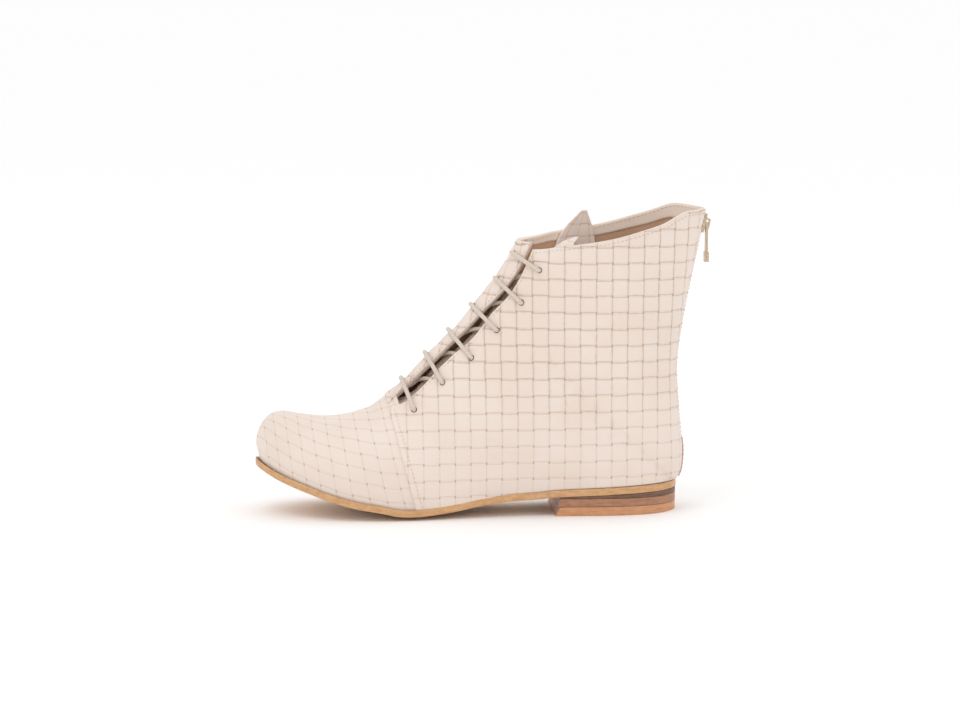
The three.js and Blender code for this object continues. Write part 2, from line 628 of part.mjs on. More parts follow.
// The tongue's inner wing stands up against the inside of the inner quarter, as a pointed leaf
const wingRows = [
  { rise: 0.62, front: 0.36, back: 0.25 },
  { rise: 0.8, front: 0.3, back: 0.19 },
  { rise: 0.9, front: 0.27, back: 0.19 },
  { rise: 0.98, front: 0.219, back: 0.207 },
];
const wingPoint = (row, across, depth) => {
  const x = xAt(lerp(row.front, row.back, across));
  const { at, angle } = placeFromSide(x, seatHeight + shaftHeight * row.rise, 1);
  return lastPoint(at, angle, -(wallThickness + wingGap + depth));
};
const wingGrid = (depth) => wingRows.map((row) =>
  [0, 1, 2, 3].map((j) => wingPoint(row, j / 3, depth)));
add('tongue_wing', wallBetween(wingGrid(0), wingGrid(tongueThickness)), finishes.upper);

// The lace: bars over the leather and crossings under it, through every pair of eyelets
const laceReach = overlayStep + laceClearance + laceDiameter / 2;
const laceUnder = -(wallThickness + laceClearance + laceDiameter / 2);
const laceSag = 1.3;           // how much deeper the crossings hang under the flaps
const lacePoints = [];
const throughEyelet = (at, side, inwardFirst) => {
  const angle = side * eyeletAngle(at, side);
  const run = [laceUnder, -wallThickness / 2, overlayStep, laceReach]
    .map((reach) => lastPoint(at, angle, reach));
  lacePoints.push(...(inwardFirst ? run.reverse() : run));
};
const pointsAcross = 8;
const sagRamp = 6;
const across = (from, to, reach, sag) => {
  for (let k = 1; k < pointsAcross; k += 1) {
    const part = k / pointsAcross;
    const depth = sag * Math.min(1, sagRamp * part, sagRamp * (1 - part));
    lacePoints.push(lastPoint(lerp(from[0], to[0], part), lerp(from[1], to[1], part), reach - depth));
  }
};
eyeletPlaces.forEach((at, k) => {
  const lateral = -eyeletAngle(at, -1);
  const medial = eyeletAngle(at, 1);
  if (k > 0) {
    const before = eyeletPlaces[k - 1];
    across([before, eyeletAngle(before, 1)], [at, lateral], laceUnder, laceSag);
  }
  throughEyelet(at, -1, false);
  across([at, lateral], [at, medial], laceReach, 0);
  throughEyelet(at, 1, true);
});
const laceSection = new THREE.Shape();
laceSection.absarc(0, 0, laceDiameter / 2, 0, 2 * Math.PI);
const laceGeometry = new THREE.ExtrudeGeometry(laceSection, {
  steps: 108, curveSegments: 3, bevelEnabled: false,
  extrudePath: new THREE.CatmullRomCurve3(lacePoints, false, 'centripetal'),
});
const laceBody = mergeVertices((() => {
  laceGeometry.deleteAttribute('normal');
  laceGeometry.deleteAttribute('uv');
  return laceGeometry;
})(), 1e-4);
add('lace', facingOut(laceBody), finishes.lace);

// The zip at the back, its slider at the top and the pull that hangs from it
add('zip_chain', backStrip({
  from: zipFrom, to: zipTo, rows: 14, width: zipWidth,
  inner: -zipThickness, outer: 0,
}), finishes.tape);
const coverFrom = 0.012;
const coverTo = zipFrom - 0.004;
add('back_strip', backStrip({
  from: coverFrom, to: coverTo, rows: 5, width: coverWidth,
  inner: overlayStep + seat, outer: overlayStep + seat + coverThickness,
}), finishes.upper);

// Slider and pull are drawn in their own frame: x away from the boot, y across, z up the zip
const plateInside = overlayStep + seat;
const sliderSpot = backPoint(zipTo - (0.55 * sliderLength) / shaftHeight, 0, plateInside);
const backSlope = backPoint(zipTo, 0, 0).sub(backPoint(zipTo - 0.1, 0, 0));
const sliderTurn = Math.atan2(backSlope.x, backSlope.z);
const acrossFrame = new THREE.Matrix4().makeBasis(
  new THREE.Vector3(0, 1, 0), new THREE.Vector3(0, 0, 1), new THREE.Vector3(1, 0, 0));
const sideFrame = new THREE.Matrix4().makeBasis(
  new THREE.Vector3(1, 0, 0), new THREE.Vector3(0, 0, 1), new THREE.Vector3(0, -1, 0));
const outline = (corners) => {
  const shape = new THREE.Shape();
  corners.forEach(([a, b], k) => (k ? shape.lineTo(a, b) : shape.moveTo(a, b)));
  return shape;
};
// A plate with its face across the boot, from x = low to x = low + depth
const facePlate = (corners, low, depth) =>
  new THREE.ExtrudeGeometry(outline(corners), { depth, bevelEnabled: false })
    .applyMatrix4(acrossFrame).translate(low, 0, 0);
const box = (halfWidth, bottom, top) =>
  [[-halfWidth, bottom], [halfWidth, bottom], [halfWidth, top], [-halfWidth, top]];

const halfLength = sliderLength / 2;
const halfWidth = sliderWidth / 2;
const sliderPlate = toSolid(facePlate([
  [-0.7 * halfWidth, -halfLength], [0.7 * halfWidth, -halfLength], [halfWidth, 0.1 * halfLength],
  [0.8 * halfWidth, halfLength], [-0.8 * halfWidth, halfLength], [-halfWidth, 0.1 * halfLength],
], 0, plateThickness));
const sliderNeck = toSolid(facePlate(
  box(0.3 * zipWidth, -0.8 * halfLength, 0.8 * halfLength), -overlayStep, overlayStep + 0.2));
const bridgeInside = plateThickness + pullThickness + 2 * seat;
const bridgeOutside = bridgeInside + bridgeThickness;
const bridgeFoot = plateThickness - 0.2;
const bridgeBody = toSolid(new THREE.ExtrudeGeometry(outline([
  [bridgeFoot, -bridgeReach], [bridgeOutside, -0.7 * bridgeReach],
  [bridgeOutside, 0.7 * bridgeReach], [bridgeFoot, bridgeReach],
  [bridgeFoot, bridgeReach - bridgeThickness], [bridgeInside, 0.7 * bridgeReach - bridgeThickness],
  [bridgeInside, bridgeThickness - 0.7 * bridgeReach], [bridgeFoot, bridgeThickness - bridgeReach],
]), { depth: bridgeWidth, bevelEnabled: false })
  .applyMatrix4(sideFrame).translate(0, bridgeWidth / 2, 0));
const sliderBody = toGeometry(sliderPlate.add(sliderNeck).add(bridgeBody));
const slider = add('zip_slider', sliderBody, finishes.metal);
slider.position.copy(sliderSpot);
slider.rotation.y = sliderTurn;

// The pull hangs straight down from its cross bar, which lies under the slider's bridge
const pivot = new THREE.Vector3(plateThickness + seat + pullThickness / 2, 0, 0)
  .applyAxisAngle(new THREE.Vector3(0, 1, 0), sliderTurn).add(sliderSpot);
const pullTop = pullThickness / 2;
const pullBottom = pullTop - pullLength;
const windowBottom = -(bridgeReach + pullThickness);
const pullPlate = toSolid(facePlate([
  [-0.42 * pullWidth, pullTop], [-0.42 * pullWidth, windowBottom], [-0.3 * pullWidth, 1.6 * windowBottom],
  [-pullWidth / 2, 0.75 * pullBottom], [-pullWidth / 2, pullBottom],
  [pullWidth / 2, pullBottom], [pullWidth / 2, 0.75 * pullBottom],
  [0.3 * pullWidth, 1.6 * windowBottom], [0.42 * pullWidth, windowBottom], [0.42 * pullWidth, pullTop],
], -pullThickness / 2, pullThickness));
const pullWindow = toSolid(facePlate(
  box(bridgeWidth / 2 + seat, windowBottom, -pullThickness / 2), -pullThickness, 2 * pullThickness));
const pullBlock = toSolid(facePlate(
  box(pullWidth / 2, pullBottom - 0.2, 0.75 * pullBottom), -blockThickness / 2, blockThickness));
const pull = add('zip_pull', toGeometry(pullPlate.subtract(pullWindow).add(pullBlock)), finishes.metal);
pull.position.copy(pivot);

export default boot;
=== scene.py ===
# %% [markdown]
# # A lace-up ankle boot
# The boot is one last shape dressed with leather panels. Every panel here is a grid that is laid
# on the same last as the CAD model, so the panels meet each other and the sole without fitting.
# The imported CAD model is loaded first. The pieces ride on bodies, which are empties made here.

# %% Load the frame
import math

import bpy
import numpy as np
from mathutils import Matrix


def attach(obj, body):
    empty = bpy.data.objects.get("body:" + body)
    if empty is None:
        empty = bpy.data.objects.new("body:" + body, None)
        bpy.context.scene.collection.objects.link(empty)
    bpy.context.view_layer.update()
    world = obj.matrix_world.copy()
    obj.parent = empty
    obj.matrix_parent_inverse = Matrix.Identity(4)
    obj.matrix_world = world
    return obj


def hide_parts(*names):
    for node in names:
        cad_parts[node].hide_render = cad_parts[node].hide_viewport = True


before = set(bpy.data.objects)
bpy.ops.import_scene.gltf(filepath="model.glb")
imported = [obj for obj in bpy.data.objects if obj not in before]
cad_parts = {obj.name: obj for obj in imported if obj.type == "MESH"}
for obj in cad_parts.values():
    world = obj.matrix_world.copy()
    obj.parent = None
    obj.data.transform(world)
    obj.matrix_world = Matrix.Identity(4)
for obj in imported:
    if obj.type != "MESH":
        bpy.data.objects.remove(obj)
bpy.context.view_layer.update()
bpy.ops.object.select_all(action="DESELECT")
scene = bpy.context.scene

# %% [markdown]
# ## Camera
# The photograph looks at the outer side of the boot from a little above, with a long lens.

# %% Camera
AIM = (-0.0825, 0.0, 0.0945)
AZIMUTH = math.radians(-4)
ELEVATION = math.radians(7.6)
DISTANCE = 2.0
eye = [AIM[0] + DISTANCE * math.cos(ELEVATION) * math.sin(AZIMUTH),
       AIM[1] - DISTANCE * math.cos(ELEVATION) * math.cos(AZIMUTH),
       AIM[2] + DISTANCE * math.sin(ELEVATION)]
bpy.ops.object.camera_add(location=eye,
                          rotation=(math.pi / 2 - ELEVATION, 0, AZIMUTH))
camera = bpy.context.object
camera.data.lens = 120
camera.data.sensor_width = 36
scene.camera = camera

# %% [markdown]
# ## The last
# A shoe is built over a last. Its sections are rows of a table, from the toe back along the sole
# and then up the shaft, and a smooth curve runs through each column. All lengths are in
# millimetres here and are turned into metres when a mesh is made.

# %% Sizes and tables of the last
SOLE_LENGTH, BALL_WIDTH, HEEL_BACK = 264, 90, 41
SHAFT, HEEL_SEAT, TOE_SPRING = 170, 14.4, 29.6
CROWN, FLAT_EASE, OUTSOLE = 3.3, 0.4, 4.6
OVERHANG, WALL, STEP, SEAT = 2.6, 2, 0.9, 0.3
SEAT_HEIGHT = HEEL_SEAT + OUTSOLE
RING, QUARTER_ROW, THROAT_ROW = 16, 10, 10.1


def table(names, rows):
    """Columns of a table as arrays, by name."""
    return dict(zip(names, np.array(rows, dtype=float).T))


PLAN = table(("along", "lateral", "medial"), [
    (0, 0, 0), (.02, .165, .165), (.05, .25, .25), (.1, .31, .305), (.17, .335, .325),
    (.25, .33, .305), (.34, .325, .27), (.43, .345, .265), (.52, .39, .305), (.61, .435, .385),
    (.68, .455, .46), (.74, .45, .49), (.8, .425, .485), (.86, .37, .45), (.91, .295, .385),
    (.95, .205, .3), (.98, .1, .2), (1, -.05, .05)])
PROFILE = table(("along", "heel", "toe"), [
    (0, 1, 0), (.08, .965, 0), (.174, .9, 0), (.288, .82, 0), (.337, .725, 0), (.386, .61, 0),
    (.432, .46, 0), (.481, .29, 0), (.527, .125, 0), (.572, .015, 0), (.617, -.062, 0),
    (.663, 0, -.021), (.712, 0, .065), (.761, 0, .14), (.807, 0, .24), (.852, 0, .365),
    (.898, 0, .525), (.943, 0, .72), (.977, 0, .885), (1, 0, 1)])
LAST = table(("ridge_x", "ridge_rise", "low_x", "low_rise", "girth", "bend", "front", "back"), [
    (.999, .06, .99, 0, 0, .05, .9, .9), (.996, .098, .986, 0, 0, .05, .88, .9),
    (.987, .142, .975, 0, 0, .048, .84, .9), (.973, .184, .958, 0, 0, .045, .8, .9),
    (.955, .219, .936, 0, 0, .042, .78, .9), (.928, .244, .907, 0, 0, .037, .78, .9),
    (.89, .259, .867, 0, 0, .03, .8, .9), (.837, .28, .811, 0, 0, .02, .84, .9),
    (.784, .312, .748, 0, .3, .011, .9, .9), (.735, .353, .686, 0, .36, .004, .98, .9),
    (.693, .402, .628, 0, .385, 0, 1.15, .88), (.648, .448, .547, 0, .388, 0, 1.4, .85),
    (.6, .496, .439, 0, .378, 0, 1.45, .8), (.556, .536, .307, 0, .365, 0, 1.35, .72),
    (.517, .585, .174, 0, .35, 0, 1.2, .66), (.483, .647, .064, 0, .34, 0, 1.08, .62),
    (.456, .697, .006, 0, .333, 0, 1, .6), (.432, .744, -.01, .09, .33, 0, .95, .62),
    (.411, .791, -.002, .253, .33, 0, .9, .66), (.394, .835, .004, .429, .335, 0, .87, .7),
    (.38, .879, -.011, .606, .345, 0, .86, .75), (.368, .921, -.031, .765, .36, 0, .85, .78),
    (.359, .959, -.051, .915, .37, 0, .86, .8), (.351, .998, -.07, 1.055, .375, 0, .87, .8)])
LAST_ROW = len(LAST["girth"]) - 1


# %% Smooth interpolation
def column(values, at):
    at = np.asarray(at, dtype=float)
    last = len(values) - 1
    i = np.clip(np.floor(at).astype(int), 0, last - 1)
    a, b, c, d = (values[np.clip(i + k, 0, last)] for k in (-1, 0, 1, 2))
    t = at - i
    return b + .5 * t * (c - a + t * (2 * a - 5 * b + 4 * c - d + t * (3 * (b - c) + d - a)))


def row_place(values, wanted):
    """Where a rising column reaches the wanted value, in rows."""
    wanted = np.asarray(wanted, dtype=float)
    low, high = np.zeros_like(wanted), np.full_like(wanted, len(values) - 1)
    for _ in range(32):
        middle = (low + high) / 2
        under = column(values, middle) < wanted
        low, high = np.where(under, middle, low), np.where(under, high, middle)
    return (low + high) / 2


def smooth(x, low, high):
    t = np.clip((x - low) / (high - low), 0, 1)
    return t * t * (3 - 2 * t)


def mix(a, b, t):
    return a + (b - a) * t


# %% [markdown]
# ## Sole plan and underside
# The plan of the sole is sampled once along its length, because every panel asks for it.

# %% Sole plan
def swing(share):
    return np.arccos(1 - 2 * np.clip(share, 0, 1)) / math.pi


SWINGS = np.linspace(0, 1, 801)
plan_place = row_place(swing(PLAN["along"]), SWINGS)
PLAN_EDGE = {-1: -BALL_WIDTH * column(PLAN["lateral"], plan_place),
             1: BALL_WIDTH * column(PLAN["medial"], plan_place)}
SHARES = np.linspace(0, 1, 801)
profile_place = row_place(PROFILE["along"], SHARES)
PROFILE_MIDDLE = (HEEL_SEAT * column(PROFILE["heel"], profile_place)
                  + TOE_SPRING * column(PROFILE["toe"], profile_place))


def sole_edge(share, side):
    return np.where(side < 0, np.interp(swing(share), SWINGS, PLAN_EDGE[-1]),
                    np.interp(swing(share), SWINGS, PLAN_EDGE[1]))


def x_at(share):
    return HEEL_BACK - SOLE_LENGTH * share


def share_of(x):
    return (HEEL_BACK - x) / SOLE_LENGTH


def sole_under(x, y):
    share = np.clip(share_of(x), 0, 1)
    middle = np.interp(share, SHARES, PROFILE_MIDDLE)
    right, left = sole_edge(share, 1), sole_edge(share, -1)
    half = (right - left) / 2
    across = np.where(half > 1, np.minimum(1.2, np.abs(y - (right + left) / 2)
                                           / np.maximum(half, 1)), 0)
    bend = smooth(share, .3, .5) * (1 - smooth(share, .86, 1))
    height = middle + CROWN * bend * across ** 2
    eased = (np.clip(height, -FLAT_EASE, FLAT_EASE) + FLAT_EASE) ** 2 / (4 * FLAT_EASE)
    return np.where(height > FLAT_EASE, height, eased)


def feather_y(x, side):
    share = (share_of(x) - .006) / .984
    return sole_edge(np.clip(share, 0, 1), side) * (1 - 2 * OVERHANG / BALL_WIDTH)


# %% Points on the last
def section(at, side):
    """One section of the last, on one side, for arrays of places."""
    low_x = x_at(column(LAST["low_x"], at))
    centre = BALL_WIDTH * column(LAST["bend"], at)
    on_sole = at < RING
    centre = np.where(on_sole, centre, 0)
    base = np.where(on_sole, sole_under(low_x, centre) + OUTSOLE, SEAT_HEIGHT)
    low_z = base + SEAT + np.where(on_sole, 0, SHAFT * column(LAST["low_rise"], at))
    ridge_x = x_at(column(LAST["ridge_x"], at))
    ridge_z = base + SHAFT * column(LAST["ridge_rise"], at)
    foot = np.where(on_sole, np.maximum(0, side * (feather_y(low_x, side) - centre)), 0)
    girth = BALL_WIDTH * column(LAST["girth"], at)
    half = (np.abs(girth) ** 8 + (1.04 * foot) ** 8) ** .125
    back = column(LAST["back"], at)
    reach = np.clip((foot / np.maximum(half, 1e-6)) ** (1 / back), 0, 1)
    end = np.where(on_sole, np.where(half > 0, math.pi - np.arcsin(reach), 1.9), math.pi)
    end = np.where(on_sole & (at <= 0), 1.9, end)
    front = column(LAST["front"], at)
    return ridge_x, ridge_z, low_x, low_z, centre, half, front, back, end


def end_angle(at, side):
    return section(np.asarray(at, dtype=float), np.asarray(side, dtype=float))[8]


def surface(at, angle):
    """Point of the last. A negative angle is on the outer side."""
    at = np.asarray(at, dtype=float)
    side = np.where(angle < 0, -1., 1.)
    ridge_x, ridge_z, low_x, low_z, centre, half, front, back, end = section(at, side)
    turn = np.abs(angle)
    across = np.maximum(0, np.sin(turn)) ** np.where(turn < math.pi / 2, front, back)
    down = (1 - np.cos(turn)) / (1 - np.cos(end))
    return np.stack([mix(ridge_x, low_x, down), centre + side * half * across,
                     mix(ridge_z, low_z, down)], -1)


def unit(v):
    return v / np.maximum(np.linalg.norm(v, axis=-1, keepdims=True), 1e-9)


def normal(at, angle):
    at, angle = np.broadcast_arrays(np.asarray(at, dtype=float), np.asarray(angle, dtype=float))
    step = .02
    along = (surface(np.minimum(LAST_ROW, at + step), angle)
             - surface(np.maximum(.01, at - step), angle))
    end = end_angle(at, np.where(angle < 0, -1., 1.))
    around = (surface(at, np.clip(angle + step, -end, end))
              - surface(at, np.clip(angle - step, -end, end)))
    return unit(np.cross(along, around))


def on_last(at, angle, reach=0.):
    at, angle = np.broadcast_arrays(np.asarray(at, dtype=float), np.asarray(angle, dtype=float))
    reach = np.broadcast_to(np.asarray(reach, dtype=float), at.shape)
    return surface(at, angle) + normal(at, angle) * reach[..., None]


# %% [markdown]
# ## Lines on the last
# The throat is where the quarters stand apart under the lace. The collar is the top line of the
# boot, a little higher on the inner side.

# %% Throat, collar and back lines
THROAT = table(("place", "lateral", "medial"), [
    (THROAT_ROW, .5, -.4), (10.75, .59, -.3), (11.7, .6, -.33), (12.4, .57, -.36),
    (14, .51, -.31), (15.2, .5, -.36), (17, .54, -.42), (19, .57, -.47), (LAST_ROW, .57, -.47)])
COLLAR = table(("along", "rise"), [
    (-.4, .85), (0, .862), (.14, .876), (.3, .888), (.46, .906), (.6, .93), (.73, .955),
    (.82, .984), (.88, .997), (1, 1), (1.3, 1)])
COLLAR_FRONT, COLLAR_DEPTH, MEDIAL_RISE = x_at(.347), SOLE_LENGTH * .413, 4.5


def throat_edge(at, side):
    name = "lateral" if side < 0 else "medial"
    return column(THROAT[name], row_place(THROAT["place"], at))


def collar_height(x, side):
    along = np.clip((x - COLLAR_FRONT) / COLLAR_DEPTH, -.4, 1.3)
    rise = column(COLLAR["rise"], row_place(COLLAR["along"], along))
    lifted = MEDIAL_RISE * (1 - smooth(along, .7, 1)) * (side > 0)
    return SEAT_HEIGHT + SHAFT * rise + lifted


ZIP_HALF = 4.0


def back_angle(at, side, half_gap=ZIP_HALF):
    """Angle where a panel ends: at the sole, or beside the zip on the back line."""
    s = section(at, np.full_like(at, side))
    gap = math.pi - np.arcsin(np.clip((half_gap / s[5]) ** (1 / s[7]), 0, 1))
    return np.minimum(s[8], gap)


def trimmed(angle_of, side, reach=0., low=16.):
    """Place where lines of the last reach the collar. angle_of gives the angle at each place."""
    from_ = np.full(len(angle_of(np.array([low]))), low)
    to = np.full_like(from_, LAST_ROW)
    for _ in range(24):
        middle = (from_ + to) / 2
        point = surface(middle, side * angle_of(middle))
        under = point[:, 2] < collar_height(point[:, 0], side)
        from_, to = np.where(under, middle, from_), np.where(under, to, middle)
    return (from_ + to) / 2


# %% [markdown]
# ## Grids
# A panel starts as Blender's grid primitive. Its own x and y, from 0 to 1, say where each point
# lies on the panel, and the panel's function says where that is on the boot.

# %% Panels from grids
def panel(name, columns, rows, place, weave=None, closed=False, outward=None):
    """A grid primitive laid on the boot. place takes arrays u, v and returns millimetres."""
    bpy.ops.object.select_all(action="DESELECT")
    bpy.ops.mesh.primitive_grid_add(x_subdivisions=columns, y_subdivisions=rows, size=1)
    made = bpy.context.object
    made.name = made.data.name = name
    mesh = made.data
    spot = np.empty(len(mesh.vertices) * 3)
    mesh.vertices.foreach_get("co", spot)
    u, v = spot.reshape(-1, 3)[:, 0] + .5, spot.reshape(-1, 3)[:, 1] + .5
    points = place(u, v)
    mesh.vertices.foreach_set("co", (points * .001).ravel())
    if weave is not None:
        corner = np.empty(len(mesh.loops), dtype=int)
        mesh.loops.foreach_get("vertex_index", corner)
        mesh.uv_layers[0].data.foreach_set("uv", weave(u, v)[corner].ravel())
    mesh.update()
    if closed:
        bpy.ops.object.mode_set(mode="EDIT")
        bpy.ops.mesh.select_all(action="SELECT")
        bpy.ops.mesh.remove_doubles(threshold=2e-6)
        bpy.ops.mesh.normals_make_consistent(inside=False)
        bpy.ops.object.mode_set(mode="OBJECT")
    elif outward is not None:
        middle = len(mesh.polygons) // 2 + columns // 2
        if (np.array(mesh.polygons[middle].normal) @ outward(mesh.polygons[middle])) < 0:
            bpy.ops.object.mode_set(mode="EDIT")
            bpy.ops.mesh.select_all(action="SELECT")
            bpy.ops.mesh.flip_normals()
            bpy.ops.object.mode_set(mode="OBJECT")
    bpy.ops.object.shade_smooth_by_angle(angle=math.radians(50))
    return made


def pick_only(piece):
    """Makes a piece the one that operators act on."""
    bpy.ops.object.select_all(action="DESELECT")
    bpy.context.view_layer.objects.active = piece
    piece.select_set(True)


def modify(piece, kind, **settings):
    """Adds a modifier and applies it."""
    pick_only(piece)
    bpy.ops.object.modifier_add(type=kind)
    made = piece.modifiers[-1]
    for key, value in settings.items():
        setattr(made, key, value)
    bpy.ops.object.modifier_apply(modifier=made.name)


def dress(piece, material, replaced=(), body="boot"):
    """Gives a piece its finish, its body and the nodes that it stands for."""
    piece.data.materials.clear()
    piece.data.materials.append(material)
    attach(piece, body)
    if replaced:
        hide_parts(*replaced)


# %% [markdown]
# ## Shader helpers
# Patterns that several finishes share are node groups: the basket weave pressed into the leather,
# with painted shade in its grooves and holes, a fine grain, and slow changes of tone. The shaders
# stay in the materials.

# %% Shader helpers
def join(tree, value, socket):
    if isinstance(value, bpy.types.NodeSocket):
        tree.links.new(value, socket)
    else:
        socket.default_value = value


def maths(tree, operation, *values):
    node = tree.nodes.new("ShaderNodeMath")
    node.operation = operation
    for socket, value in zip(node.inputs, values):
        join(tree, value, socket)
    return node.outputs[0]


def ramp(tree, value, low, high, start=0., end=1.):
    """A smooth step of a value between two bounds."""
    node = tree.nodes.new("ShaderNodeMapRange")
    node.interpolation_type = "SMOOTHSTEP"
    for name, entry in (("Value", value), ("From Min", low), ("From Max", high),
                        ("To Min", start), ("To Max", end)):
        join(tree, entry, node.inputs[name])
    return node.outputs[0]


def blend(tree, share, first, second):
    node = tree.nodes.new("ShaderNodeMix")
    node.data_type = "RGBA"
    join(tree, share, node.inputs["Factor"])
    join(tree, first, node.inputs["A"])
    join(tree, second, node.inputs["B"])
    return node.outputs["Result"]


def noise(tree, vector, scale, detail=2., roughness=.5):
    node = tree.nodes.new("ShaderNodeTexNoise")
    tree.links.new(vector, node.inputs["Vector"])
    node.inputs["Scale"].default_value = scale
    node.inputs["Detail"].default_value = detail
    node.inputs["Roughness"].default_value = roughness
    return node.outputs["Fac"]


def group(name, inputs, outputs):
    tree = bpy.data.node_groups.new(name, "ShaderNodeTree")
    for label, kind in inputs:
        tree.interface.new_socket(label, in_out="INPUT", socket_type="NodeSocket" + kind)
    for label, kind in outputs:
        tree.interface.new_socket(label, in_out="OUTPUT", socket_type="NodeSocket" + kind)
    return tree, tree.nodes.new("NodeGroupInput"), tree.nodes.new("NodeGroupOutput")


def use(tree, shared, **values):
    node = tree.nodes.new("ShaderNodeGroup")
    node.node_tree = shared
    for name, value in values.items():
        join(tree, value, node.inputs[name.replace("_", " ")])
    return node


def linear(red, green, blue):
    """An sRGB colour, as read off, for a shader."""
    return tuple(((c / 255 + .055) / 1.055) ** 2.4 if c > 10 else c / 3295
                 for c in (red, green, blue)) + (1.,)


# %% [markdown]
# ## Basket weave
# Straps cross over and under in a chequer. In each cell one strap lies on top: it is crowned in
# the middle and dips under its neighbours. A dark dot of painted shade shows at each corner where
# neither reaches, and a thin line along each top strap's edge and the dipping strap ends are
# painted shade too.

# %% Weave group
STRAP_UP, STRAP_LEVEL = .455, .42
LINE_HALF = .03
weave_group, entry, result = group(
    "basket weave", [("Vector", "Vector")],
    [("Height", "Float"), ("Line", "Float"), ("HoleShade", "Float"), ("DipShade", "Float")])
t = weave_group
apart = t.nodes.new("ShaderNodeSeparateXYZ")
t.links.new(entry.outputs["Vector"], apart.inputs[0])
cell_u, cell_v = (maths(t, "SUBTRACT", maths(t, "FRACT", apart.outputs[k]), .5) for k in (0, 1))
away_u, away_v = maths(t, "ABSOLUTE", cell_u), maths(t, "ABSOLUTE", cell_v)
count = maths(t, "ADD", maths(t, "FLOOR", apart.outputs[0]), maths(t, "FLOOR", apart.outputs[1]))
level_on_top = maths(t, "MODULO", count, 2.)
strap_up = ramp(t, away_u, STRAP_UP - .025, STRAP_UP + .025, 1., 0.)
strap_level = ramp(t, away_v, STRAP_LEVEL - .025, STRAP_LEVEL + .025, 1., 0.)


def pick(tree, first, second):
    """first where the upright strap is on top, second where the level one is."""
    return maths(tree, "ADD", maths(tree, "MULTIPLY", first,
                                    maths(tree, "SUBTRACT", 1., level_on_top)),
                 maths(tree, "MULTIPLY", second, level_on_top))


over, under = pick(t, strap_up, strap_level), pick(t, strap_level, strap_up)
run = pick(t, away_v, away_u)
# Painted shade: a thin dark line along the edge of the strap on top, where it shades the strap
# that dips beneath.
past_edge = pick(t, maths(t, "SUBTRACT", away_u, STRAP_UP + LINE_HALF),
                 maths(t, "SUBTRACT", away_v, STRAP_LEVEL + LINE_HALF))
painted_edge_shade = ramp(t, maths(t, "ABSOLUTE", past_edge), LINE_HALF * .4, LINE_HALF * 1.3, 1., 0.)
crown = maths(t, "COSINE", maths(t, "MULTIPLY", run, math.pi))
height = maths(t, "ADD", maths(t, "MULTIPLY", over, maths(t, "ADD", .5, maths(
    t, "MULTIPLY", crown, .5))), maths(t, "MULTIPLY", maths(
        t, "MULTIPLY", under, .25), maths(t, "SUBTRACT", 1., over)))
t.links.new(height, result.inputs["Height"])
t.links.new(painted_edge_shade, result.inputs["Line"])
# Painted shade: the corner holes where neither strap reaches, and the strap ends that dip under
# their neighbours.
t.links.new(maths(t, "MULTIPLY", maths(t, "SUBTRACT", 1., over),
                  maths(t, "SUBTRACT", 1., under)), result.inputs["HoleShade"])
t.links.new(maths(t, "MAXIMUM", maths(t, "MULTIPLY", ramp(t, run, .34, .5), .8),
                  maths(t, "MULTIPLY", maths(t, "SUBTRACT", 1., over), .6)),
            result.inputs["DipShade"])

# %% Grain and tone groups
grain_group, entry, result = group("leather grain", [("Vector", "Vector"), ("Scale", "Float")],
                                   [("Height", "Float"), ("Tone", "Float")])
t = grain_group
pores = t.nodes.new("ShaderNodeTexVoronoi")
t.links.new(entry.outputs["Vector"], pores.inputs["Vector"])
t.links.new(entry.outputs["Scale"], pores.inputs["Scale"])
t.links.new(maths(t, "ADD", maths(t, "MULTIPLY", pores.outputs["Distance"], .6), maths(
    t, "MULTIPLY", noise(t, entry.outputs["Vector"], 900., 3.), .6)), result.inputs["Height"])
t.links.new(noise(t, entry.outputs["Vector"], 28., 3.), result.inputs["Tone"])


# %% [markdown]
# ## Finishes
# The upper is pale nude leather. Its weave is deeper up the shaft and nearly flat by the sole,
# where only the painted shade of the dots and a faint painted shade line show.

# %% Start a material
def finish(name, roughness, **settings):
    """A material with its shader, object coordinates and UV."""
    made = bpy.data.materials.new(name)
    made.use_nodes = True
    tree = made.node_tree
    shader = tree.nodes["Principled BSDF"]
    shader.inputs["Roughness"].default_value = roughness
    for key, value in settings.items():
        shader.inputs[key.replace("_", " ")].default_value = value
    where = tree.nodes.new("ShaderNodeTexCoord")
    return made, tree, shader, where


def raise_surface(tree, shader, height, strength, distance):
    bump = tree.nodes.new("ShaderNodeBump")
    join(tree, height, bump.inputs["Height"])
    bump.inputs["Strength"].default_value = strength
    bump.inputs["Distance"].default_value = distance
    tree.links.new(bump.outputs["Normal"], shader.inputs["Normal"])


# %% Woven leather
LEATHER = linear(231, 216, 206)
# Painted shade: the colour of the weave's shaded edges and dips, and of its dark corner holes.
SHADED = linear(206, 180, 160)
HOLE_SHADE = linear(166, 134, 112)


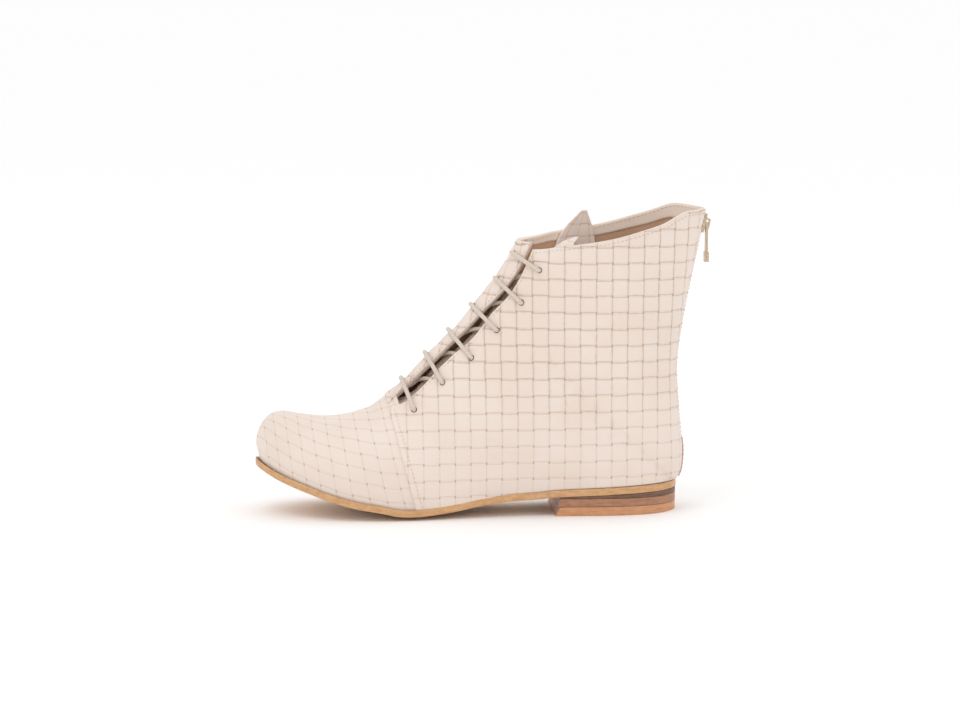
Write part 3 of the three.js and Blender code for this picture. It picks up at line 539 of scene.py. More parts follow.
def woven_leather(name, line_deep, line_flat, hole_shade_share):
    made, t, shader, where = finish(name, .52, Sheen_Weight=.08)
    weave = use(t, weave_group, Vector=where.outputs["UV"])
    grain = use(t, grain_group, Vector=where.outputs["Object"], Scale=1500.)
    spot = t.nodes.new("ShaderNodeSeparateXYZ")
    t.links.new(where.outputs["Object"], spot.inputs[0])
    puff = ramp(t, spot.outputs["Z"], .03, .1, line_flat, line_deep)
    tone = blend(t, ramp(t, grain.outputs["Tone"], .3, .7), LEATHER, linear(227, 211, 199))
    # Painted shade: edge lines and dips pull the leather towards the shaded colour, and the corner
    # holes towards the hole colour.
    dark = maths(t, "MINIMUM", maths(t, "ADD", maths(t, "MULTIPLY", weave.outputs["Line"], puff),
                                     maths(t, "MULTIPLY", weave.outputs["DipShade"], maths(
                                         t, "MULTIPLY", puff, .35))), 1.)
    shaded = blend(t, dark, tone, SHADED)
    t.links.new(blend(t, maths(t, "MULTIPLY", weave.outputs["HoleShade"], hole_shade_share), shaded, HOLE_SHADE),
                shader.inputs["Base Color"])
    height = maths(t, "ADD", maths(t, "MULTIPLY", weave.outputs["Height"], puff),
                   maths(t, "MULTIPLY", grain.outputs["Height"], .06))
    raise_surface(t, shader, height, .5, .0006)
    t.links.new(ramp(t, grain.outputs["Height"], .2, .9, .46, .6), shader.inputs["Roughness"])
    return made


quarter_leather = woven_leather("quarter leather", .68, .36, .6)
vamp_leather = woven_leather("vamp leather", .36, .28, .6)


# %% Plain leathers, suede and lining
def plain_leather(name, colour, second, roughness=.6, grain_share=.25, nap=1500.):
    made, t, shader, where = finish(name, roughness, Sheen_Weight=.1)
    grain = use(t, grain_group, Vector=where.outputs["Object"], Scale=nap)
    t.links.new(blend(t, ramp(t, grain.outputs["Tone"], .3, .7), colour, second),
                shader.inputs["Base Color"])
    raise_surface(t, shader, grain.outputs["Height"], grain_share, .0003)
    return made


facing_leather = plain_leather("facing leather", linear(236, 219, 205), linear(228, 209, 193))
lining_leather = plain_leather("brown lining", linear(203, 166, 136), linear(188, 150, 120),
                               .85, .5, 700.)
strip_leather = plain_leather("back strip leather", linear(206, 172, 146),
                              linear(190, 154, 126))
thread = plain_leather("thread", linear(221, 203, 186), linear(205, 184, 165), .8, .4, 2600.)


# %% Sole edge and heel
def stacked_leather(name, colour, second, streak=260., roughness=.5, top_line=None):
    """Leather cut across its layers: fine level streaks with a burnished face."""
    made, t, shader, where = finish(name, roughness, Coat_Weight=.12, Coat_Roughness=.35)
    turn = t.nodes.new("ShaderNodeMapping")
    t.links.new(where.outputs["Object"], turn.inputs["Vector"])
    turn.inputs["Scale"].default_value = (.12, .12, 1.)
    streaks = noise(t, turn.outputs[0], streak * 4, 4., .6)
    specks = noise(t, where.outputs["Object"], 420., 3.)
    amount = maths(t, "ADD", maths(t, "MULTIPLY", streaks, .7), maths(
        t, "MULTIPLY", specks, .3))
    body = blend(t, ramp(t, amount, .32, .68), colour, second)
    if top_line:
        split = t.nodes.new("ShaderNodeSeparateXYZ")
        t.links.new(where.outputs["UV"], split.inputs[0])
        body = blend(t, ramp(t, split.outputs["Y"], *top_line[:2], 1., 0.), body, top_line[2])
    t.links.new(body, shader.inputs["Base Color"])
    raise_surface(t, shader, amount, .35, .0004)
    return made


sole_leather = stacked_leather("sole edge", linear(214, 170, 122), linear(190, 140, 93),
                               top_line=(.3, .36, linear(132, 96, 66)))
wedge_leather = stacked_leather("heel wedge", linear(122, 88, 66), linear(92, 66, 50))
lift_leather = stacked_leather("heel lift", linear(176, 128, 96), linear(150, 104, 76))
top_piece_leather = stacked_leather("heel top piece", linear(208, 152, 110),
                                    linear(188, 130, 90))


# %% Cord, tape and metal
def striped(name, colour, second, repeats, roughness, depth, slant=1.):
    """Twisted cord or woven tape: slanting stripes on the piece's own UV."""
    made, t, shader, where = finish(name, roughness)
    split = t.nodes.new("ShaderNodeSeparateXYZ")
    t.links.new(where.outputs["UV"], split.inputs[0])
    slide = maths(t, "ADD", maths(t, "MULTIPLY", split.outputs["X"], repeats),
                  maths(t, "MULTIPLY", split.outputs["Y"], slant))
    wave = maths(t, "ABSOLUTE", maths(t, "SINE", maths(t, "MULTIPLY", slide, math.pi)))
    fuzz = noise(t, where.outputs["Object"], 1400., 3.)
    # Painted shade: the colour is darker in the grooves between the stripes, where the bump is
    # low.
    t.links.new(blend(t, maths(t, "MULTIPLY", wave, ramp(t, fuzz, .2, .8, .6, 1.)), second,
                      colour), shader.inputs["Base Color"])
    raise_surface(t, shader, maths(t, "ADD", wave, maths(t, "MULTIPLY", fuzz, .4)), .7, depth)
    return made


lace_cord = striped("lace cord", linear(216, 203, 192), linear(203, 189, 176), 1., .7, .00012, 3.)
zip_tape = striped("zip tape", linear(196, 172, 154), linear(158, 134, 116), 1., .8, .0002, 0.)


def metal(name, colour, second, roughness):
    made, t, shader, where = finish(name, roughness, Metallic=1.)
    brushed = noise(t, where.outputs["Object"], 700., 3.)
    t.links.new(blend(t, ramp(t, brushed, .3, .7), colour, second), shader.inputs["Base Color"])
    t.links.new(ramp(t, brushed, .2, .8, roughness - .06, roughness + .1),
                shader.inputs["Roughness"])
    raise_surface(t, shader, brushed, .15, .0001)
    return made


zip_metal = metal("champagne metal", linear(206, 188, 162), linear(186, 164, 134), .3)


# %% [markdown]
# ## Weave coordinates
# On the quarters the straps run level and upright. Where the leather turns away round the heel or
# over the instep, the distance along the surface is longer than it looks from the side, so the
# coordinates get that extra length from the direction that the surface faces.

# %% Weave coordinates and relief
PITCH_LEVEL, PITCH_UP, PITCH_VAMP = 9.75, 10.25, 9.6
TURN_RADIUS = 27.
WEAVE_START = np.array([60.3, 20.62])  # places a strap's corner as in the photograph


def side_weave(points, facing):
    level = np.hypot(facing[:, 0], facing[:, 1])
    swing_back = np.arctan2(facing[:, 0], np.maximum(np.abs(facing[:, 1]), 1e-3))
    tilt = np.arctan2(facing[:, 2], np.maximum(level, 1e-3))
    u = points[:, 0] + TURN_RADIUS * (swing_back - np.sin(swing_back))
    v = points[:, 2] + TURN_RADIUS * (tilt - np.sin(tilt))
    return np.stack([u / PITCH_LEVEL, v / PITCH_UP], -1) + WEAVE_START


def relief(weave):
    """Height of the straps, from 0 to 1, as in the shader."""
    cell = np.floor(weave)
    local = np.abs(weave - cell - .5)
    level = (cell.sum(-1) % 2) > .5
    up = 1 - smooth(local[:, 0], STRAP_UP - .04, STRAP_UP + .04)
    flat = 1 - smooth(local[:, 1], STRAP_LEVEL - .04, STRAP_LEVEL + .04)
    top, below = np.where(level, flat, up), np.where(level, up, flat)
    along = np.where(level, local[:, 0], local[:, 1])
    return top * (.45 + .55 * np.sqrt(np.maximum(np.cos(math.pi * along), 0))) + (
        1 - top) * below * .2


# %% [markdown]
# ## Eyelets
# Six punched pairs run along the throat. The same places make the holes in the leather and the
# path of the lace.

# %% Eyelet places
EYELET_PLACES = np.array([11, 12.2, 13.5, 15, 17.1, 19.2])
EYELET_RADIUS, EYELET_INSET = 1.85, 9.5
RIM_SNAP = .5    # points this close to the rim move onto it
HOLE_REACH = 8   # the holes' cutters reach this far in and out


def inset_angle(at, side, inset):
    """Angle that lies a given distance behind the edge of the throat."""
    steps = np.linspace(0, 1.2, 121)
    line = surface(np.full(121, at), side * (throat_edge(at, side) + steps))
    gone = np.concatenate([[0], np.cumsum(np.linalg.norm(np.diff(line, axis=0), axis=1))])
    return float(throat_edge(at, side) + np.interp(inset, gone, steps))


eyelets = {side: [(at, inset_angle(at, side, EYELET_INSET)) for at in EYELET_PLACES]
           for side in (-1, 1)}


def eyelet_axes(side):
    at, angle = np.array(eyelets[side]).T
    return surface(at, side * angle), normal(at, side * angle)


def snap_to_holes(points, side):
    """Moves points near an eyelet onto its rim, so that the hole comes out round."""
    centres, axes = eyelet_axes(side)
    for centre, axis in zip(centres, axes):
        away = points - centre
        height = away @ axis
        flat = away - height[:, None] * axis
        far = np.linalg.norm(flat, axis=1)
        near = (np.abs(far - EYELET_RADIUS) < RIM_SNAP) & (np.abs(height) < HOLE_REACH)
        points[near] += flat[near] * (EYELET_RADIUS / far[near] - 1)[:, None]
    return points


def punch(piece, side):
    """Deletes the faces inside the eyelets."""
    mesh = piece.data
    spot = np.empty(len(mesh.polygons) * 3)
    mesh.polygons.foreach_get("center", spot)
    spot = spot.reshape(-1, 3) * 1000
    inside = np.zeros(len(spot), dtype=bool)
    for centre, axis in zip(*eyelet_axes(side)):
        away = spot - centre
        height = away @ axis
        far = np.linalg.norm(away - height[:, None] * axis, axis=1)
        inside |= (far < EYELET_RADIUS - .05) & (np.abs(height) < HOLE_REACH)
    remove_faces(piece, inside)


def remove_faces(piece, chosen):
    pick_only(piece)
    bpy.ops.object.mode_set(mode="EDIT")
    bpy.ops.mesh.select_mode(type="FACE")
    bpy.ops.mesh.select_all(action="DESELECT")
    bpy.ops.object.mode_set(mode="OBJECT")
    piece.data.polygons.foreach_set("select", chosen)
    bpy.ops.object.mode_set(mode="EDIT")
    bpy.ops.mesh.delete(type="FACE")
    bpy.ops.mesh.select_mode(type="VERT")
    bpy.ops.object.mode_set(mode="OBJECT")


# %% [markdown]
# ## Quarters
# Each quarter runs from the edge of the throat back to the zip, and from the vamp seam up to the
# collar. The weave is pressed in as real relief, and dies away at the cut edges, where the leather
# is skived and folded. The edge is then turned in to give the panel its thickness.

# %% Quarter panels
LEATHER_THICKNESS = 1.1


def turn_in(piece, depth, direction):
    """Extrudes the open edges of a panel inwards by a depth in millimetres."""
    pick_only(piece)
    mesh = piece.data
    facing = mesh.attributes.new("facing", "FLOAT_VECTOR", "POINT")
    facing.data.foreach_set("vector", direction.ravel())
    bpy.ops.object.mode_set(mode="EDIT")
    bpy.ops.mesh.select_mode(type="EDGE")
    bpy.ops.mesh.select_all(action="DESELECT")
    bpy.ops.mesh.select_non_manifold(extend=False, use_wire=False, use_multi_face=False,
                                     use_non_contiguous=False, use_verts=False)
    bpy.ops.mesh.extrude_edges_indiv()
    bpy.ops.object.mode_set(mode="OBJECT")
    count = len(mesh.vertices)
    chosen, spot, way = np.empty(count, dtype=bool), np.empty(count * 3), np.empty(count * 3)
    mesh.vertices.foreach_get("select", chosen)
    mesh.vertices.foreach_get("co", spot)
    mesh.attributes["facing"].data.foreach_get("vector", way)
    spot, way = spot.reshape(-1, 3), way.reshape(-1, 3)
    spot[chosen] -= way[chosen] * depth * .001
    mesh.vertices.foreach_set("co", spot.ravel())
    mesh.attributes.remove(mesh.attributes["facing"])
    mesh.update()
    bpy.ops.object.mode_set(mode="EDIT")
    bpy.ops.mesh.select_mode(type="VERT")
    bpy.ops.object.mode_set(mode="OBJECT")


QUARTER_COLUMNS, QUARTER_ROWS = 210, 230
RELIEF = .95


def quarter_place(u, v, side, start=QUARTER_ROW + .02, gap=ZIP_HALF):
    """Place and signed angle on the last for a quarter's u (front to back) and v (up)."""
    across = np.unique(u)

    def angle_of(at):
        return mix(throat_edge(at, side), back_angle(at, side, gap), across)

    top = trimmed(angle_of, side)
    at = mix(start, np.interp(u, across, top), v)
    angle = mix(throat_edge(at, side), back_angle(at, side, gap), u)
    return at, side * angle


def quarter(side, name):
    kept = {}

    def place(u, v):
        at, angle = quarter_place(u, v, side)
        base, out = surface(at, angle), normal(at, angle)
        weave = side_weave(base, out)
        hem = (smooth(u, 0, .02) * smooth(1 - u, 0, .015) * smooth(v, 0, .012)
               * smooth(1 - v, 0, .025))
        puff = mix(.3, 1., smooth(base[:, 2], 30, 100)) * hem
        lift = STEP + RELIEF * puff * (relief(weave) - .75)
        kept.update(weave=weave, out=out)
        return snap_to_holes(base + out * lift[:, None], side)

    made = panel(name, QUARTER_COLUMNS, QUARTER_ROWS, place, lambda u, v: kept["weave"],
                 outward=lambda face: np.array([0, side, 0.]))
    out = kept["out"]
    turn_in(made, LEATHER_THICKNESS, out)
    punch(made, side)
    return made


outer_quarter = quarter(-1, "quarter_outer")
inner_quarter = quarter(1, "quarter_inner")
dress(outer_quarter, quarter_leather, ("upper",))
dress(inner_quarter, quarter_leather, ("upper",))
print("quarters", len(outer_quarter.data.polygons), len(inner_quarter.data.polygons))

# %% [markdown]
# ## Vamp
# The vamp covers the toes and runs back under the quarters. Its straps follow the foot: across it
# and along it, so the weave is measured along the surface.

# %% Vamp panel
VAMP_COLUMNS, VAMP_ROWS = 230, 180
VAMP_END = 10.5
vamp_rows = np.linspace(0, VAMP_END, 200)
side_line = surface(vamp_rows, np.full(200, -1.1))
vamp_length = np.concatenate([[0], np.cumsum(np.linalg.norm(np.diff(side_line, axis=0), axis=1))])


def vamp_weave(at, angle):
    """Distance along the foot and up from the sole, in straps."""
    steps = np.linspace(0, 1, 40)
    rows = np.linspace(0, VAMP_END, 120)
    level = np.empty((2, 120, 40))
    for k, side in enumerate((-1, 1)):
        for n, row in enumerate(rows):
            end = end_angle(np.array([row]), np.array([side]))[0]
            line = surface(np.full(40, row), side * end * (1 - steps))
            level[k, n] = np.concatenate(
                [[0], np.cumsum(np.linalg.norm(np.diff(line, axis=0), axis=1))])
    end = end_angle(at, np.where(angle < 0, -1., 1.))
    share = 1 - np.abs(angle) / end
    row, col = at / VAMP_END * 119, share * 39
    i, j = np.clip(row.astype(int), 0, 118), np.clip(col.astype(int), 0, 38)
    k = (angle > 0).astype(int)
    p, q = row - i, col - j
    up = mix(mix(level[k, i, j], level[k, i, j + 1], q),
             mix(level[k, i + 1, j], level[k, i + 1, j + 1], q), p)
    return np.stack([np.interp(at, vamp_rows, vamp_length) / PITCH_VAMP + 10.3,
                     up / PITCH_VAMP + 20.3], -1)


vamp_kept = {}


def vamp_place(u, v):
    at = VAMP_END * v ** 1.25
    across = 2 * u - 1
    angle = across * end_angle(at, np.where(across < 0, -1., 1.))
    base, out = surface(at, angle), normal(at, angle)
    out[at < .02] = unit(np.array([-1., 0, .2]))
    weave = vamp_weave(at, angle)
    fade = smooth(at, .3, 2.5)
    vamp_kept.update(weave=weave)
    return base + out * (.32 * fade * (relief(weave) - .9))[:, None]


vamp = panel("vamp", VAMP_COLUMNS, VAMP_ROWS, vamp_place, lambda u, v: vamp_kept["weave"],
             outward=lambda face: np.array([0, 0, 1.]))
dress(vamp, vamp_leather, ("upper",))


# %% [markdown]
# ## Lining
# The inside is brown leather. A pale facing backs the eyelets and the collar, as the photograph
# shows on the inner side.

# %% Lining
def lining(side, name):
    def place(u, v):
        at, angle = quarter_place(mix(.008, 1, u), mix(0, .99, v), side, start=9.6)
        base, out = surface(at, angle), normal(at, angle)
        return snap_to_holes(base - out * WALL, side)

    made = panel(name, 150, 170, place, outward=lambda face: np.array([0, -side, 0.]))
    punch(made, side)
    return made


for side, name in ((-1, "lining_outer"), (1, "lining_inner")):
    dress(lining(side, name), lining_leather, ("upper",))


def toe_lining_place(u, v):
    at = mix(.6, 10.4, v)
    across = 2 * u - 1
    angle = across * end_angle(at, np.where(across < 0, -1., 1.))
    return on_last(at, angle, -WALL + .1)


toe_lining = panel("lining_toe", 60, 60, toe_lining_place,
                   outward=lambda face: np.array([0, 0, -1.]))
dress(toe_lining, lining_leather, ("upper",))


# %% Facings
FACING_REACH = -(WALL + .3)
RIM = -FACING_REACH + STEP - LEATHER_THICKNESS


def throat_facing(side, name, low_width=4., high_width=7.):
    """The band inside the edge of the throat. Its turned edge closes the rim of the quarter."""
    kept = {}

    def place(u, v):
        top = float(trimmed(lambda at: throat_edge(at, side) + 0 * at, side)[0])
        at = mix(10.3, top, v)
        edge = throat_edge(at, side)
        inner = np.interp(at, EYELET_PLACES, [a for _, a in eyelets[side]])
        width = mix(low_width, high_width, v) / EYELET_INSET
        angle = side * mix(edge, mix(edge, inner, width), u)
        kept["out"] = normal(at, angle)
        return surface(at, angle) + kept["out"] * FACING_REACH

    made = panel(name, 8, 150, place, outward=lambda face: np.array([0, -side, 0.]))
    turn_in(made, -RIM, kept["out"])
    return made


def down_from_collar(u, side, drop):
    """Point of the last, and its direction, a distance below the collar at each u."""
    at, angle = quarter_place(u, np.ones_like(u), side)
    step = surface(at, angle) - surface(at - .5, angle)
    return at - drop * .5 / np.linalg.norm(step, axis=1), angle


def collar_facing(side, name, front=5., back=10.):
    kept = {}

    def place(u, v):
        at, angle = down_from_collar(u, side, v * mix(front, back, smooth(u, .1, .95)))
        kept["out"] = normal(at, angle)
        return surface(at, angle) + kept["out"] * (FACING_REACH - .05)

    made = panel(name, 120, 6, place, outward=lambda face: np.array([0, -side, 0.]))
    turn_in(made, -RIM - .05, kept["out"])
    return made


for side, name in ((-1, "outer"), (1, "inner")):
    dress(collar_facing(side, "collar_facing_" + name), facing_leather)
    dress(throat_facing(side, "throat_facing_" + name), facing_leather)

# %% [markdown]
# ## Tongue
# A soft leaf behind the lace. Its inner half leans on the lining and its point stands above the
# collar.

# %% Tongue
TONGUE_TOP = 22.0
TONGUE = table(("place", "lean", "lateral", "medial"), [
    (10.05, .2, .8, .3), (10.7, 5, .95, .6), (12, 7, 1, .75), (14, 7.2, .95, .78),
    (16, 8, .9, .78), (18, 9.5, .82, .75), (20, 17, .7, .68), (21.2, 23, .5, .6),
    (TONGUE_TOP, 31, .12, .3)])


def tongue_place(u, v):
    at = mix(10.08, TONGUE_TOP, v)
    where = row_place(TONGUE["place"], at)
    across = 2 * u - 1
    edge = np.where(across < 0, column(TONGUE["lateral"], where),
                    column(TONGUE["medial"], where))
    inward = -normal(at, np.full_like(at, .001))
    inward[:, 1] = 0
    lean = unit(inward) * column(TONGUE["lean"], where)[:, None]
    return on_last(at, across * edge, -(WALL + .6)) + lean


def tongue_weave(u, v):
    return np.stack([(u - .5) * 5 + 20.5, v * 13 + 20.5], -1)


tongue = panel("tongue", 40, 120, tongue_place, tongue_weave,
               outward=lambda face: np.array([-1., 0, 1.]))
modify(tongue, "SOLIDIFY", thickness=.0017, offset=-1.)
modify(tongue, "BEVEL", width=.0005, segments=2, limit_method="ANGLE")
dress(tongue, quarter_leather, ("tongue",))

WING = table(("rise", "front", "back"), [
    (.62, .36, .25), (.8, .3, .19), (.9, .27, .19), (.98, .219, .207)])


def place_from_side(x, z, side):
    """Place and angle on the last that are seen at x, z from the side."""
    low, high = np.zeros_like(x), np.full_like(x, float(LAST_ROW))
    sides = np.full_like(x, side)
    for _ in range(26):
        middle = (low + high) / 2
        rx, rz, lx, lz = section(middle, sides)[:4]
        past = (lx - rx) * (z - rz) - (lz - rz) * (x - rx) > 0
        low, high = np.where(past, middle, low), np.where(past, high, middle)
    at = (low + high) / 2
    rx, rz, lx, lz, *_, end = section(at, sides)
    down = ((x - rx) * (lx - rx) + (z - rz) * (lz - rz)) / ((lx - rx) ** 2 + (lz - rz) ** 2)
    return at, np.arccos(np.clip(1 - np.clip(down, 0, 1) * (1 - np.cos(end)), -1, 1))


def wing_place(u, v):
    row = v * 3
    x = x_at(mix(column(WING["front"], row), column(WING["back"], row), u))
    z = SEAT_HEIGHT + SHAFT * column(WING["rise"], row)
    at, angle = place_from_side(x, z, 1)
    return on_last(at, angle, -(WALL + .9))


wing = panel("tongue_wing_leaf", 20, 60, wing_place,
             lambda u, v: np.stack([u * 3 + 20.4, v * 6 + 20.4], -1),
             outward=lambda face: np.array([0, 1., 0]))
modify(wing, "SOLIDIFY", thickness=.0017, offset=-1.)
modify(wing, "BEVEL", width=.0005, segments=2, limit_method="ANGLE")
dress(wing, quarter_leather, ("tongue_wing",))

# %% [markdown]
# ## Lace
# A waxed round cord: bars over the leather, crossings under it, through every pair of eyelets.
# It is modelled as a tube along one curve, and stops inside the top pair of holes.

# %% Lace
LACE_RADIUS = 1.35
LACE_OVER = STEP + .6 + LACE_RADIUS
LACE_BELOW = -(WALL + .6 + LACE_RADIUS)
LACE_SAG = 1.3


def lace_points():
    stops = []

    def through(at, side, outward_first):
        angle = side * dict(eyelets[side])[at]
        reaches = np.array([LACE_BELOW, -WALL / 2, STEP, LACE_OVER])
        stops.extend(on_last(np.full(4, at), np.full(4, angle),
                             reaches[::-1] if outward_first else reaches))

    def across(start, finish_, reach, sag=0.):
        part = np.arange(1, 8) / 8
        depth = sag * np.minimum(1, 6 * np.minimum(part, 1 - part))
        stops.extend(on_last(mix(start[0], finish_[0], part), mix(start[1], finish_[1], part),
                             reach - depth))

    for k, at in enumerate(EYELET_PLACES):
        lateral, medial = -dict(eyelets[-1])[at], dict(eyelets[1])[at]
        if k:
            before = EYELET_PLACES[k - 1]
            across((before, dict(eyelets[1])[before]), (at, lateral), LACE_BELOW, LACE_SAG)
        through(at, -1, False)
        across((at, lateral), (at, medial), LACE_OVER)
        through(at, 1, True)
    return np.array(stops)


def curve_through(points, count):
    """A centripetal curve through points, cut into even steps."""
    knots = np.concatenate([[0], np.cumsum(np.sqrt(np.linalg.norm(
        np.diff(points, axis=0), axis=1)))])
    ends = (2 * points[0] - points[1], 2 * points[-1] - points[-2])
    p = np.vstack([ends[0], points, ends[1]])
    k = np.concatenate([[2 * knots[0] - knots[1]], knots, [2 * knots[-1] - knots[-2]]])
    fine = np.linspace(knots[0], knots[-1] - 1e-6, count * 6)
    i = np.clip(np.searchsorted(knots, fine, "right") - 1, 0, len(points) - 2) + 1
    slope = (p[2:] - p[:-2]) / (k[2:] - k[:-2])[:, None]
    h = (k[i + 1] - k[i])[:, None]
    s = ((fine - k[i]) / (k[i + 1] - k[i]))[:, None]
    line = ((2 * s ** 3 - 3 * s ** 2 + 1) * p[i] + (s ** 3 - 2 * s ** 2 + s) * h * slope[i - 1]
            + (3 * s ** 2 - 2 * s ** 3) * p[i + 1] + (s ** 3 - s ** 2) * h
            * slope[np.minimum(i, len(slope) - 1)])
    gone = np.concatenate([[0], np.cumsum(np.linalg.norm(np.diff(line, axis=0), axis=1))])
    even = np.linspace(0, gone[-1], count)
    return np.stack([np.interp(even, gone, line[:, n]) for n in range(3)], -1), gone[-1]


def frames_along(line):
    """Two directions across a line that turn with it and don't twist."""
    way = unit(np.gradient(line, axis=0))
    side = np.empty_like(line)
    side[0] = unit(np.cross(way[0], [0.3, .2, 1]))
    for n in range(1, len(line)):
        side[n] = unit(side[n - 1] - way[n] * (side[n - 1] @ way[n]))
    return side, np.cross(way, side)


def tube(name, points, radius, steps, around, lay):
    line, length = curve_through(points, steps + 1)
    first, second = frames_along(line)

    def place(u, v):
        n = np.rint(v * steps).astype(int)
        turn = 2 * math.pi * u
        return line[n] + radius * (first[n] * np.cos(turn)[:, None]
                                   + second[n] * np.sin(turn)[:, None])

    made = panel(name, around, steps, place,
                 lambda u, v: np.stack([v * length / lay, u], -1), closed=True)
    bpy.ops.object.mode_set(mode="EDIT")
    bpy.ops.mesh.select_all(action="DESELECT")
    bpy.ops.mesh.select_non_manifold()
    bpy.ops.mesh.fill_holes(sides=0)
    bpy.ops.mesh.select_all(action="SELECT")
    bpy.ops.mesh.normals_make_consistent(inside=False)
    bpy.ops.object.mode_set(mode="OBJECT")
    return made, length


lace, lace_length = tube("lace_cord", lace_points(), LACE_RADIUS, 900, 14, 2.4)
dress(lace, lace_cord, ("lace",))
print("lace length in mm", round(lace_length))

# %% [markdown]
# ## Outsole and heel
# The sole and each heel layer are slabs with one outline. The outline is swept through a profile
# from the middle of the top, round the edge, to the middle of the bottom, so the edges are round.

# %% Slabs
def slab_outline(count, inset, to=1., breast=None):
    """Points round the sole's plan, inset, from 0 to 1, cut off square at the heel's front."""
    last_turn = swing(to)
    legs = np.linspace(0, 1, count)

    def edge(side, legs_):
        share = (1 - np.cos(legs_ * last_turn * math.pi)) / 2
        shrunk = share + (.5 - share) * (2 * inset / SOLE_LENGTH)
        right, left = sole_edge(share, 1), sole_edge(share, -1)
        reach = (right - left) / 2 * (1 - 2 * inset / BALL_WIDTH)
        return np.stack([x_at(shrunk), (left + right) / 2 + side * reach], -1)

    outer, inner = edge(-1, legs), edge(1, legs)[::-1]
    if to == 1.:
        return np.vstack([outer, inner[1:-1]])
    bridge = np.linspace(0, 1, 12)[1:-1, None]
    return np.vstack([outer, outer[-1] * (1 - bridge) + inner[0] * bridge, inner[:-1]])


def slab(name, outline, under, over, bevel=.5, lean=0.):
    """A slab between two heights with rounded edges. lean moves its bottom's front face."""
    count = len(outline)
    ring = np.vstack([outline, outline[:1]])
    centre_x = np.clip(ring[:, 0], ring[:, 0].min() + 14, ring[:, 0].max() - 14)
    centre_y = ring[:, 1] * 0 + np.interp(centre_x, *middle_line)
    centre = np.stack([centre_x, centre_y], -1)
    away = np.linalg.norm(ring - centre, axis=1)
    steps = [(1., 0.), (.66, 0.), (.33, 0.), (.12, 0.)]
    bow = [(bevel * (1 - math.sin(a)), bevel * (1 - math.cos(a)))
           for a in np.linspace(0, math.pi / 2, 5)]
    profile = ([("top", s, None) for s, _ in steps] + [("top", None, b) for b in bow]
               + [("bottom", None, b) for b in bow[::-1]]
               + [("bottom", s, None) for s, _ in steps[::-1]])
    rows = len(profile) - 1

    def place(u, v):
        n = np.rint(u * count).astype(int)
        r = np.rint(v * rows).astype(int)
        out = np.empty((len(u), 3))
        for k, (face, share, bow_) in enumerate(profile):
            here = r == k
            part = share if share is not None else bow_[0] / np.maximum(away[n[here]], 1e-3)
            spot = mix(ring[n[here]], centre[n[here]], np.reshape(part, (-1, 1)))
            x, y = spot.T
            drop = bow_[1] if bow_ else 0
            z = over(x, y) - drop if face == "top" else under(x, y) + drop
            if lean:
                at_front = smooth(-x, -(ring[:, 0].min() + 8), -ring[:, 0].min())
                x = x + lean * at_front * (face == "bottom")
            out[here] = np.stack([x, y, z], -1)
        return out

    return panel(name, count, rows, place, lambda u, v: np.stack([u, v], -1), closed=True)


spine_shares = np.linspace(0, 1, 200)
spine = (sole_edge(spine_shares, 1) + sole_edge(spine_shares, -1)) / 2
middle_line = (x_at(spine_shares)[::-1], spine[::-1])

outsole = slab("outsole_slab", slab_outline(150, 0), sole_under,
               lambda x, y: sole_under(x, y) + OUTSOLE, bevel=.55)
dress(outsole, sole_leather, ("outsole",))

BREAST, TOP_PIECE, LIFT = .285, 5.7, 4.8
LIFT_TOP = TOP_PIECE + SEAT + LIFT
for name, node, inset, low, high, lean, material, slot in (
        ("wedge_slab", "heel_wedge", .3, lambda x, y: 0 * x + LIFT_TOP + .08,
         lambda x, y: sole_under(x, y) - .08, 0., wedge_leather, "heel_dark"),
        ("lift_slab", "heel_lift", .4, lambda x, y: 0 * x + TOP_PIECE + .08,
         lambda x, y: 0 * x + LIFT_TOP - .08, -1.5, lift_leather, "heel_brown"),
        ("top_piece_slab", "heel_top_piece", .5, lambda x, y: 0 * x,
         lambda x, y: 0 * x + TOP_PIECE - .08, -3., top_piece_leather, "heel_tan")):
    piece = slab(name, slab_outline(46, inset, BREAST), low, high, .35, lean)
    dress(piece, material, (node,))

insole_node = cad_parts["insole"]
insole_node.data.materials.clear()
insole_node.data.materials.append(lining_leather)


# %% [markdown]
# ## Stitches
# One stitch is modelled as a small bead and copied along each seam.

# %% Stitches
def taken_model():
    """Points and faces of the active model, which is then deleted."""
    mesh = bpy.context.object.data
    spot = np.empty(len(mesh.vertices) * 3)
    mesh.vertices.foreach_get("co", spot)
    faces = [tuple(face.vertices) for face in mesh.polygons]
    bpy.ops.object.delete()
    return spot.reshape(-1, 3), faces


def row_of_copies(name, points, model_faces):
    """One piece from the points of many copies of a model, in millimetres."""
    copies, size = points.shape[:2]
    mesh = bpy.data.meshes.new(name)
    mesh.from_pydata((points.reshape(-1, 3) * .001).tolist(), [],
                     [tuple(k + n * size for k in face)
                      for n in range(copies) for face in model_faces])
    made = bpy.data.objects.new(name, mesh)
    scene.collection.objects.link(made)
    return made


bpy.ops.object.select_all(action="DESELECT")
bpy.ops.mesh.primitive_uv_sphere_add(segments=6, ring_count=4, radius=.5)
bead, bead_faces = taken_model()
STITCH_PITCH = 2.75
SEAM_PLACE, COLLAR_MARGIN = 10.25, 2.4


